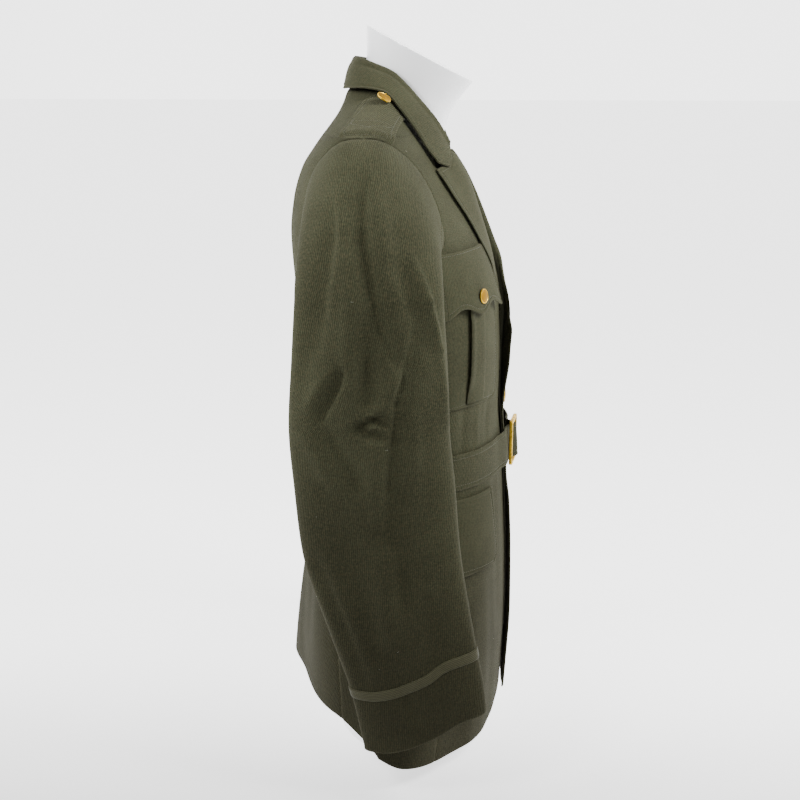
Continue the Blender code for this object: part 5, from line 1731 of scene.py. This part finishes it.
@dataclass
class Belt:
    """One cloth band, which leaves the buckle, goes round the back and laps past the buckle."""

    finishes: Finishes
    first_turn: float = -20.0
    last_turn: float = 342.5

    def place(self, turn: Array, z: Array) -> Array:
        """Places on the belt; turns run from 0 at the buckle round the wearer's right side."""
        whole = turn % 360.0
        side = np.where(whole <= 180.0, -1, 1)
        own = np.where(whole <= 180.0, whole, 360.0 - whole)
        x = BODY.ring(TORSO, side, own, z)[..., 0]
        is_lap = turn < 0
        out = BELT_OUT + FRONT_STACK * ease((x + 0.070) / 0.034) * ease((0.095 - x) / 0.030)
        out = out + np.where(is_lap, ON_TOP * ease((x - 0.027) / 0.014), 0.0)
        bridge = np.where(is_lap | (turn < 20), np.exp(-(x / 0.0095) ** 2), 0.0)
        return BODY.point(side, own, z, out + bridge * BELT_BRIDGE)

    def build(self) -> ClothPiece:
        """Makes the belt.

        Returns:
            The finished piece.
        """
        near = np.concatenate([[-20, -19.7, -19.2, -18.4, -17.5, -16.9, -16.2],
                               np.linspace(-15, 15, 41), np.linspace(17, 27, 6)])
        far = np.linspace(29, 330, 151)
        turn = np.concatenate([near, far, np.linspace(332, self.last_turn, 7)])[None]
        z = BELT_LOW + (BELT_HIGH - BELT_LOW) * spread(0.045, 0.006, Edge.STITCHED, Edge.STITCHED)
        points = self.place(turn, z[:, None])
        piece = ClothPiece("belt_cloth", points[:, ::-1], "belt", self.finishes.wool,
                           edges=(Edge.TURNED, Edge.STITCHED, Edge.STITCHED, Edge.STITCHED), held="laid")
        piece.build()
        return piece


@dataclass
class Buckle:
    """Open brass frame with a middle bar, which the belt passes over."""

    finishes: Finishes
    half_width: float = 0.023
    half_height: float = 0.0300
    bar: float = 0.0042
    corner: float = 0.005
    turn: float = -7.0             # of the whole frame round an upright line, in degrees

    def block(self, half_x: float, half_z: float, depth: float, corner: float,
              x: float = 0.0) -> bpy.types.Object:
        """A block with rounded upright corners, lying in the XY plane.

        Args:
            half_x: half its width.
            half_z: half its height.
            depth: its thickness.
            corner: radius of its corners.
            x: where its middle is.

        Returns:
            The block.
        """
        deselect()
        bpy.ops.mesh.primitive_cube_add(size=1.0, location=(x, 0.0, 0.0))
        block = bpy.context.object
        block.scale = (2 * half_x, 2 * half_z, depth)
        bpy.ops.object.transform_apply(location=True, rotation=False, scale=True)
        heights = [vertex.co.z for vertex in block.data.vertices]
        choose(block, "EDGE", [edge.index for edge in block.data.edges
                               if heights[edge.vertices[0]] * heights[edge.vertices[1]] < 0])
        bpy.ops.mesh.bevel(offset=corner, segments=6, affect="EDGES")
        bpy.ops.object.mode_set(mode="OBJECT")
        return block

    def build(self) -> bpy.types.Object:
        """Cuts the two windows, rounds every edge and stands the frame on the belt.

        Returns:
            The finished piece.
        """
        piece = self.block(self.half_width, self.half_height, BUCKLE_THICK, self.corner)
        inner = self.half_width - self.bar
        for sign in (-1, 1):
            window = self.block((inner - self.bar / 2) / 2, self.half_height - self.bar,
                                BUCKLE_THICK * 3, 0.0014, sign * (inner + self.bar / 2) / 2)
            cut = piece.modifiers.new("Window", "BOOLEAN")
            cut.operation, cut.object = "DIFFERENCE", window
            apply_all(piece)
            bpy.data.objects.remove(window, do_unlink=True)
        round_edges(piece, 0.0009, 4, 40.0)
        apply_all(piece)
        smooth_over(piece, 35.0)
        middle = (BELT_LOW + BELT_HIGH) / 2
        spot = BODY.point(-1, np.zeros(1), np.array([middle]), np.array([BUCKLE_FACE]))[0]
        turn = math.radians(self.turn)
        stand = spot[1] + BUCKLE_THICK / 2 + self.half_width * math.sin(turn)
        turned = Matrix.Rotation(turn, 4, "Z") @ Matrix.Rotation(math.radians(90), 4, "X")
        piece.data.transform(Matrix.Translation((0, stand, middle)) @ turned)
        piece.name = piece.data.name = "buckle_brass"
        dress(piece, self.finishes.brass, "brass_buckle", "buckle")
        return piece


# ---------------------------------------------------------------- buttons
@dataclass
class ButtonMaker:
    """Stamped gilt buttons: a rolled rim, a domed field and a plain raised star."""

    finishes: Finishes
    rim_share: float = 0.86       # of the radius, where the raised rim begins
    masters: dict[float, bpy.types.Object] = field(default_factory=dict)

    def master(self, radius: float) -> bpy.types.Object:
        """Models one button round the origin, facing up.

        Args:
            radius: the button's radius.

        Returns:
            The button, to be copied.
        """
        if radius in self.masters:
            return self.masters[radius]
        thick = radius * 0.16
        deselect()
        bpy.ops.mesh.primitive_cylinder_add(vertices=56, radius=radius * 0.97, depth=thick,
                                            location=(0, 0, thick / 2))
        button = bpy.context.object
        for sign, steps in (
                (1, ((0.040, 0.050), (0.050, 0.015), (0.045, -0.045), (0.025, -0.010), (0.10, 0.042),
                     (0.15, 0.040), (0.18, 0.028), (0.20, 0.014), (0.12, 0.003))),
                (-1, ((0.30, 0.02), (0.38, 0.04), (0.05, 0.04)))):
            bpy.ops.object.mode_set(mode="OBJECT")
            choose(button, "FACE", [face.index for face in button.data.polygons
                                    if face.normal.z * sign > 0.9 and len(face.vertices) > 8])
            for inset, rise in steps:
                bpy.ops.mesh.inset(thickness=inset * radius, depth=rise * radius)
        bpy.ops.object.mode_set(mode="OBJECT")
        round_edges(button, radius * 0.02, 2, 35.0)
        apply_all(button)
        star = self.star(radius, max(v.co.z for v in button.data.vertices))
        shank = self.shank(radius)
        self._map_relief(button, radius * self.rim_share)
        self._map_relief(star, 0.0)
        self._map_relief(shank, 0.0)
        take(button)
        star.select_set(True)
        shank.select_set(True)
        bpy.context.view_layer.objects.active = button
        bpy.ops.object.join()
        smooth_over(button, 32.0)
        self.masters[radius] = button
        return button

    def _map_relief(self, part: bpy.types.Object, raised_from: float) -> None:
        """Writes an edge map that is 1 beyond a radius and 0 within it."""
        mesh = part.data
        while mesh.uv_layers:
            mesh.uv_layers.remove(mesh.uv_layers[0])
        layer = mesh.uv_layers.new(name=EDGE_MAP)
        for loop in mesh.loops:
            x, y, _ = mesh.vertices[loop.vertex_index].co
            layer.data[loop.index].uv = (float(math.hypot(x, y) >= raised_from), 0.0)

    def star(self, radius: float, top: float) -> bpy.types.Object:
        """A five-pointed star in relief, with ridges to its points."""
        deselect()
        bpy.ops.mesh.primitive_circle_add(vertices=10, radius=radius * 0.46, fill_type="TRIFAN",
                                          location=(0, 0, 0))
        star = bpy.context.object
        for vertex in star.data.vertices:
            far = math.hypot(vertex.co.x, vertex.co.y)
            if far < radius * 0.01:
                vertex.co.z = top + radius * 0.060
                continue
            place = round(math.degrees(math.atan2(vertex.co.y, vertex.co.x)) / 36.0 - 2.5)
            scale = 1.0 if place % 2 == 0 else 0.42
            vertex.co.x, vertex.co.y = vertex.co.x * scale, vertex.co.y * scale
            vertex.co.z = top - radius * (0.075 * scale ** 2 + 0.012)
        bpy.ops.object.mode_set(mode="EDIT")
        bpy.ops.mesh.select_all(action="SELECT")
        bpy.ops.mesh.extrude_region_move(TRANSFORM_OT_translate={"value": (0, 0, -radius * 0.04)})
        bpy.ops.mesh.select_all(action="SELECT")
        bpy.ops.mesh.normals_make_consistent(inside=False)
        bpy.ops.object.mode_set(mode="OBJECT")
        return star

    def shank(self, radius: float) -> bpy.types.Object:
        """The loop under a button, by which it is sewn on."""
        deselect()
        bpy.ops.mesh.primitive_torus_add(major_radius=radius * 0.15, minor_radius=radius * 0.035,
                                         major_segments=16, minor_segments=6,
                                         rotation=(math.radians(90), 0, 0),
                                         location=(0, 0, -radius * 0.12))
        shank = bpy.context.object
        bpy.ops.object.transform_apply(location=True, rotation=True, scale=True)
        return shank

    def place(self, node: str, seat: Array, normal: Array, radius: float, rise: float,
              spin: float = 0.0) -> None:
        """Puts a copy of a button on its seat.

        Args:
            node: the CAD node that it stands for.
            seat: the place on the cloth.
            normal: the way the button faces.
            radius: its radius.
            rise: how far its back stands off the cloth.
            spin: how far it is turned round its shank, in degrees.
        """
        master = self.master(radius)
        piece = master.copy()
        piece.data = master.data.copy()
        piece.name = piece.data.name = node + "_gilt"
        bpy.context.scene.collection.objects.link(piece)
        way = Vector(normal)
        turned = Vector((0, 0, 1)).rotation_difference(way).to_matrix().to_4x4()
        moved = Matrix.Translation(Vector(seat) + way * rise)
        piece.data.transform(moved @ turned @ Matrix.Rotation(math.radians(spin), 4, "Z"))
        dress(piece, self.finishes.gilt, "gilt_button", node)

    def clear(self) -> None:
        """Removes the masters."""
        for master in self.masters.values():
            bpy.data.objects.remove(master, do_unlink=True)


# ---------------------------------------------------------------- dress form
HIPS = Table(TORSO_COLUMNS, (
    (0.000, 0.1460, -0.0810, 0.0810, 0.002, 2.2, 1.9),
    (0.006, 0.1500, -0.0850, 0.0850, 0.002, 2.2, 1.9),
    (0.060, 0.1560, -0.0930, 0.0890, 0.002, 2.2, 1.9),
    (0.150, 0.1660, -0.1070, 0.0950, 0.002, 2.2, 2.0),
    (0.250, 0.1740, -0.1210, 0.0970, 0.002, 2.3, 2.2),
    (0.330, 0.1740, -0.1270, 0.0890, 0.001, 2.3, 2.3)))

# Tilted cross-sections of the form's neck; the last one is past its cut.
NECK_COLUMNS = ("centre_y", "centre_z", "half_width", "half_depth", "tilt")
NECK_ROWS = (
    (0.004, 0.7600, 0.0490, 0.0550, 12.0),
    (-0.004, 0.8000, 0.0500, 0.0560, 18.0),
    (-0.012, 0.8300, 0.0525, 0.0590, 24.0),
    (-0.0185, 0.8510, 0.0550, 0.0662, 26.5),
    (-0.0248, 0.8715, 0.0572, 0.0740, 27.3),
    (-0.0310, 0.8900, 0.0590, 0.0790, 27.3),
)
NECK_CUT = (-0.0248, 0.8715, 27.3)   # y and z of the cut's middle, and its tilt


@dataclass
class DressForm:
    """The white shell that carries the coat, with its cut neck and no limbs."""

    finishes: Finishes
    columns: int = 96
    voxel: float = 0.0040

    def ring(self, z: float) -> Array:
        """One cross-section: the hips' own, and above them the coat's, drawn in."""
        around = 360.0 * np.arange(self.columns) / self.columns
        side = np.where(around <= 180.0, 1, -1)
        turn = np.where(around <= 180.0, around, 360.0 - around)
        height = np.full(self.columns, z)
        if z <= 0.33:
            return BODY.ring(HIPS, side, turn, height)
        clear = (0.0022 + 0.0033 * float(ease((0.770 - z) / 0.090))
                 + 0.004 * float(ease((0.42 - z) / 0.06)))
        normal = BODY.normal(side, np.minimum(turn, 179.5), height)
        normal[:, 2] = 0.0
        flat = np.maximum(np.linalg.norm(normal, axis=-1, keepdims=True), 1e-6)
        return BODY.ring(TORSO, side, turn, height) - normal / flat * (CLOTH + clear) / np.maximum(flat, 0.35)

    def neck_rings(self) -> list[Array]:
        """The neck's cross-sections."""
        around = 2 * math.pi * np.arange(self.columns) / self.columns
        rings = []
        for row in NECK_ROWS:
            values = dict(zip(NECK_COLUMNS, row))
            tilt = math.radians(values["tilt"])
            ahead = np.array([0.0, -math.cos(tilt), -math.sin(tilt)])
            middle = np.array([0.0, values["centre_y"], values["centre_z"]])
            rings.append(middle + ahead * (values["half_depth"] * np.cos(around))[:, None]
                         + np.array([1.0, 0.0, 0.0]) * (values["half_width"] * np.sin(around))[:, None])
        return rings

    def loft(self, rings: list[Array]) -> bpy.types.Object:
        """A closed solid through rings, grown from a circle by extrusion."""
        deselect()
        bpy.ops.mesh.primitive_circle_add(vertices=self.columns, radius=0.1, fill_type="NGON")
        solid = bpy.context.object
        bpy.ops.object.mode_set(mode="EDIT")
        bpy.ops.mesh.select_all(action="SELECT")
        for _ in rings[1:]:
            bpy.ops.mesh.extrude_region_move(TRANSFORM_OT_translate={"value": (0, 0, 0.01)})
        bpy.ops.object.mode_set(mode="OBJECT")
        co = np.empty(len(solid.data.vertices) * 3)
        solid.data.vertices.foreach_get("co", co)
        co = co.reshape(-1, 3)
        level = np.rint(co[:, 2] / 0.01).astype(int)
        around = np.rint((np.degrees(np.arctan2(co[:, 0], -co[:, 1])) % 360) / 360 * self.columns)
        index = around.astype(int) % self.columns
        moved = np.stack([rings[k][i] for k, i in zip(level, index)])
        solid.data.vertices.foreach_set("co", moved.astype(np.float32).ravel())
        solid.data.update()
        bpy.ops.object.mode_set(mode="EDIT")
        bpy.ops.mesh.select_all(action="SELECT")
        bpy.ops.mesh.normals_make_consistent(inside=False)
        bpy.ops.object.mode_set(mode="OBJECT")
        return solid

    def build(self) -> bpy.types.Object:
        """Melts trunk and neck into one smooth shell, then cuts its two flat ends.

        Returns:
            The finished piece.
        """
        heights = np.concatenate([[0.0, 0.006], np.linspace(0.03, 0.33, 16), np.linspace(0.35, 0.66, 32),
                                  np.linspace(0.67, 0.778, 22), np.linspace(0.781, 0.819, 16)])
        rings = [self.ring(float(z)) for z in heights]
        rings[0] = rings[1] - np.array([0.0, 0.0, 0.030])
        shell = self.loft(rings)
        neck = self.loft(self.neck_rings())
        take(shell)
        neck.select_set(True)
        bpy.context.view_layer.objects.active = shell
        bpy.ops.object.join()
        remesh = shell.modifiers.new("Melt", "REMESH")
        remesh.mode, remesh.voxel_size = "VOXEL", self.voxel
        even = shell.modifiers.new("Even", "SMOOTH")
        even.factor, even.iterations = 0.5, 6
        apply_all(shell)
        group = shell.vertex_groups.new(name="neck_root")
        for vertex in shell.data.vertices:
            x, y, z = vertex.co
            root = math.hypot(x / 0.105, (y + 0.005) / 0.105)
            weight = max(0.0, 1.0 - root ** 4) * min(max((z - 0.70) / 0.03, 0.0), 1.0)
            weight *= min(max((0.850 - z) / 0.02, 0.0), 1.0)
            if weight > 0.01:
                group.add([vertex.index], weight, "REPLACE")
        melt = shell.modifiers.new("Neck root", "SMOOTH")
        melt.factor, melt.iterations, melt.vertex_group = 0.5, 45, "neck_root"
        apply_all(shell)
        shell.vertex_groups.clear()
        tilt = math.radians(NECK_CUT[2])
        self.slice(shell, (0.0, NECK_CUT[0], NECK_CUT[1]), (0.0, -math.sin(tilt), math.cos(tilt)))
        self.slice(shell, (0.0, 0.0, 0.0003), (0.0, 0.0, -1.0))
        round_edges(shell, 0.0016, 3, 45.0)
        apply_all(shell)
        smooth_over(shell, 40.0)
        shell.name = shell.data.name = "dress_form_shell"
        dress(shell, self.finishes.shell, "form_shell", "dress_form")
        return shell

    def slice(self, piece: bpy.types.Object, where: Sequence[float], way: Sequence[float]) -> None:
        """Cuts off what lies beyond a plane and closes the cut."""
        take(piece)
        bpy.ops.object.mode_set(mode="EDIT")
        bpy.ops.mesh.select_all(action="SELECT")
        bpy.ops.mesh.bisect(plane_co=where, plane_no=way, use_fill=True, clear_outer=True)
        bpy.ops.object.mode_set(mode="OBJECT")


# ---------------------------------------------------------------- small traces
@dataclass
class Lint:
    """A few pale fibres that cling to the cloth."""

    finishes: Finishes
    seed: int = 7
    count: int = 30

    def build(self, hosts: Sequence[ClothPiece]) -> bpy.types.Object:
        """Scatters short curved fibres over pieces of cloth.

        Args:
            hosts: the pieces that carry them.

        Returns:
            The finished piece.
        """
        draw = random.Random(self.seed)
        deselect()
        bpy.ops.curve.primitive_bezier_curve_add()
        piece = bpy.context.object
        curve = piece.data
        curve.splines.clear()
        curve.dimensions, curve.bevel_depth, curve.bevel_resolution = "3D", 0.00012, 0
        curve.use_fill_caps = True
        for number in range(self.count):
            host = hosts[number % len(hosts)]
            u, v, turn = draw.uniform(0.1, 0.9), draw.uniform(0.12, 0.9), draw.uniform(0, math.pi)
            reach = draw.uniform(0.0005, 0.0016)
            spline = curve.splines.new("POLY")
            spline.points.add(4)
            rows, columns = host.points.shape[:2]
            wide, tall = host.along[:, -1].mean(), host.up[-1].mean()
            bend = draw.uniform(-0.5, 0.5)
            for k, point in enumerate(spline.points):
                step = (k - 2) / 2
                du = (math.cos(turn) * step + math.sin(turn) * bend * step * step) * reach / wide
                dv = (math.sin(turn) * step - math.cos(turn) * bend * step * step) * reach / tall
                spot, out = host.at(np.array(u + du), np.array(v + dv))
                point.co = (*(spot + out * 0.0002), 1.0)
        bpy.ops.object.convert(target="MESH")
        piece = bpy.context.object
        piece.name = piece.data.name = "lint_fibres"
        smooth_over(piece, 60.0)
        dress(piece, self.finishes.lint, "olive_cloth")
        return piece


# ---------------------------------------------------------------- the whole coat
@dataclass
class ServiceCoat:
    """The coat with everything sewn on it."""

    finishes: Finishes
    front_heights: tuple[float, ...] = (0.539, 0.489, 0.440)
    front_x: float = 0.006

    def build(self) -> None:
        """Makes every sub-assembly and its stitching."""
        panels = BodyPanels(self.finishes)
        panels.build()
        buttons = ButtonMaker(self.finishes)
        sleeves = [Sleeve(side, self.finishes) for side in Side]
        for sleeve in sleeves:
            sleeve.build()
        self._sew_fronts(panels)
        for side in Side:
            self._build_lapel(side)
            self._build_strap(side, buttons)
            self._build_pockets(side, buttons)
        collar = Collar(self.finishes).build()
        seams = Stitching("collar_stitching")
        for edge in (0, 1, 3):
            seams.add(*collar.inset_line(edge, ends=STITCH_INSET))
        seams.build(self.finishes.thread)
        self._build_front_buttons(buttons)
        belt = Belt(self.finishes).build()
        seams = Stitching("belt_stitching")
        for edge in (2, 3):
            seams.add(*belt.inset_line(edge, ends=STITCH_INSET))
        seams.build(self.finishes.thread)
        Buckle(self.finishes).build()
        buttons.clear()
        hosts = [sleeve.top for sleeve in sleeves] + [panels.pieces[side.named("front")] for side in Side]
        Lint(self.finishes).build(hosts)

    def _sew_fronts(self, panels: BodyPanels) -> None:
        """Rows of stitches beside the free edges of the fronts, up to the break."""
        seams = Stitching("front_edge_stitching")
        for side in Side:
            piece = panels.pieces[side.named("front")]
            line, outs = piece.inset_line(1 if piece.flips else 0)
            keep = line[:, 2] < BREAK_HEIGHT - 0.004
            seams.add(line[keep], outs[keep])
        seams.build(self.finishes.thread)

    def _build_lapel(self, side: Side) -> None:
        """A lapel with its stitching."""
        piece = Lapel(side, self.finishes).build()
        seams = Stitching(side.named("lapel") + "_stitching")
        seams.add(*piece.inset_line(0 if piece.flips else 1, ends=STITCH_INSET))
        seams.add(*piece.inset_line(3, ends=STITCH_INSET))
        seams.build(self.finishes.thread)

    def _build_strap(self, side: Side, buttons: ButtonMaker) -> None:
        """A shoulder strap with its button and the crossed stitching at its seam."""
        piece, seat, normal = ShoulderStrap(side, self.finishes).build()
        seams = Stitching(side.named("shoulder_strap") + "_stitching")
        for edge in (0, 1, 2):
            seams.add(*piece.inset_line(edge, ends=STITCH_INSET * 0.6))
        steps = np.linspace(0.0, 1.0, 24)
        low, high, near, far = 0.16, 0.84, 0.70, 0.93
        for start, end in (((low, near), (high, far)), ((low, far), (high, near)),
                           ((low, near), (high, near)), ((low, far), (high, far))):
            seams.add(*piece.at(start[0] + (end[0] - start[0]) * steps,
                                start[1] + (end[1] - start[1]) * steps))
        seams.build(self.finishes.thread)
        lean = unit(normal + np.array([0.0, -STRAP_BUTTON_LEAN, 0.0]))
        buttons.place(side.named("strap_button"), seat, lean, BUTTON_SMALL, STRAP_BUTTON_RISE, 20.0)

    def _build_pockets(self, side: Side, buttons: ButtonMaker) -> None:
        """Chest pocket and lower flap, with their buttons and stitching."""
        (patch, _, flap), seat, normal = ChestPocket(side, self.finishes).build()
        buttons.place(side.named("chest_button"), seat, normal, BUTTON_SMALL, 0.0018, 8.0)
        seams = Stitching(side.named("chest_pocket") + "_stitching")
        for piece in (patch, flap):
            for edge in (0, 1, 2):
                seams.add(*piece.inset_line(edge, ends=STITCH_INSET))
        seams.add(*flap.inset_line(3, 0.003, ends=0.002))
        seams.build(self.finishes.thread)
        flap, seat, normal = LowerFlap(side, self.finishes).build()
        buttons.place(side.named("lower_button"), seat, normal, BUTTON_SMALL, 0.0014, -12.0)
        seams = Stitching(side.named("lower_flap") + "_stitching")
        for edge in (0, 1, 2):
            seams.add(*flap.inset_line(edge, ends=STITCH_INSET))
        seams.build(self.finishes.thread)

    def _build_front_buttons(self, buttons: ButtonMaker) -> None:
        """The large buttons of the front closing."""
        reach = BUTTON_LARGE * np.array([-1.0, -0.5, 0.0, 0.5, 1.0, 0.0, 0.0])
        lift = BUTTON_LARGE * np.array([0.0, 0.0, 0.0, 0.0, 0.0, -1.0, 1.0])
        for number, height in enumerate(self.front_heights, 1):
            x, z = self.front_x + reach, height + lift
            around = BODY.front_point(1, BODY.turn_at(x, z), z)
            seat = around[2]
            rise = seat[1] - around[:, 1].min() + 0.0024
            buttons.place("front_button_%d" % number, seat, np.array([0.0, -1.0, 0.0]), BUTTON_LARGE,
                          rise, 11.0 * number)


# ---------------------------------------------------------------- studio
@dataclass
class Studio:
    """Camera, floor, backdrop light and soft lamps."""

    distance: float = 1.6          # of the camera from the coat's middle line
    azimuth: float = 5.0           # how far the camera stands behind the coat's side, in degrees
    pitch: float = 15.0
    camera_height: float = 0.859
    lens: float = 56.475
    dim_side: float = 0.25         # strength of the surround behind the camera
    bright_side: float = 3.7       # and opposite it
    floor_glow: float = 2.8        # of the floor behind the coat, as on a lit sweep

    def build(self) -> None:
        """Makes the studio."""
        self._camera()
        self._floor()
        self._world()
        self._lamp("front_softbox", (-0.30, -1.4, 1.70), 0.8, 70.0)
        self._lamp("back_softbox", (-0.35, 1.6, 1.60), 0.9, 40.0)
        self._lamp("top_softbox", (-0.62, 0.05, 1.85), 0.5, 1.0)
        self._lamp("side_softbox", (-0.90, 0.50, 1.15), 0.3, 10.0)

    def _camera(self) -> None:
        """A camera beside the coat, a little behind its side and looking down on it."""
        turn = math.radians(self.azimuth)
        deselect()
        bpy.ops.object.camera_add(
            location=(-self.distance * math.cos(turn), -self.distance * math.sin(turn),
                      self.camera_height),
            rotation=(math.radians(90.0 - self.pitch), 0.0, math.radians(self.azimuth - 90.0)))
        camera = bpy.context.object
        camera.data.lens, camera.data.sensor_width = self.lens, 36.0
        bpy.context.scene.camera = camera

    def _floor(self) -> None:
        """A wide pale floor, which glows brighter behind the coat: painted light, as on a lit sweep."""
        deselect()
        bpy.ops.mesh.primitive_plane_add(size=60.0, location=(0, 0, 0))
        floor = bpy.context.object
        floor.name = "floor"
        shade = Shade("pale_floor")
        where = shade.where()
        across, _ = shade.across_and_up(where)
        grain = shade.noise(3.0, where, 2.0)
        # The floor's glow rises from none on the camera's side of the coat to full behind it: painted light.
        glow = self.floor_glow
        floor.data.materials.append(shade.finish(
            {"Base Color": shade.mix(grain, (0.58, 0.58, 0.58), (0.60, 0.60, 0.60)),
             "Emission Color": shade.mix(across.step(-0.60, 0.20), (0.0, 0.0, 0.0), (glow, glow, glow))},
            {"Roughness": 0.9, "Specular IOR Level": 0.1, "Emission Strength": 1.0}))

    def _world(self) -> None:
        """A white surround, dimmer on the camera's side and bright behind the coat."""
        world = bpy.context.scene.world or bpy.data.worlds.new("studio")
        bpy.context.scene.world = world
        world.use_nodes = True
        tree = world.node_tree
        background = tree.nodes["Background"]
        background.inputs["Color"].default_value = (1.0, 1.0, 1.0, 1.0)
        way = tree.nodes.new("ShaderNodeTexCoord")
        split = tree.nodes.new("ShaderNodeSeparateXYZ")
        share = tree.nodes.new("ShaderNodeMapRange")
        for name, value in (("From Min", 0.45), ("From Max", 0.95), ("To Min", self.dim_side),
                            ("To Max", self.bright_side)):
            share.inputs[name].default_value = value
        tree.links.new(way.outputs["Generated"], split.inputs[0])
        tree.links.new(split.outputs["X"], share.inputs["Value"])
        tree.links.new(share.outputs[0], background.inputs["Strength"])

    def _lamp(self, name: str, where: Sequence[float], size: float, power: float) -> None:
        """A square soft lamp that looks at the coat's middle.

        Args:
            name: its name.
            where: its place.
            size: its width.
            power: its power in watts.
        """
        deselect()
        way = Vector((0, 0, 0.45)) - Vector(where)
        bpy.ops.object.light_add(type="AREA", location=where,
                                 rotation=way.to_track_quat("-Z", "Y").to_euler())
        lamp = bpy.context.object
        lamp.name = name
        lamp.data.shape, lamp.data.size, lamp.data.energy = "SQUARE", size, power


def main() -> None:
    """Builds the coat, the form and the studio."""
    logging.basicConfig(level=logging.INFO, format="%(name)s %(message)s")
    finishes = Finishes.make()
    DressForm(finishes).build()
    ServiceCoat(finishes).build()
    Studio().build()


if __name__ == "__main__":
    main()
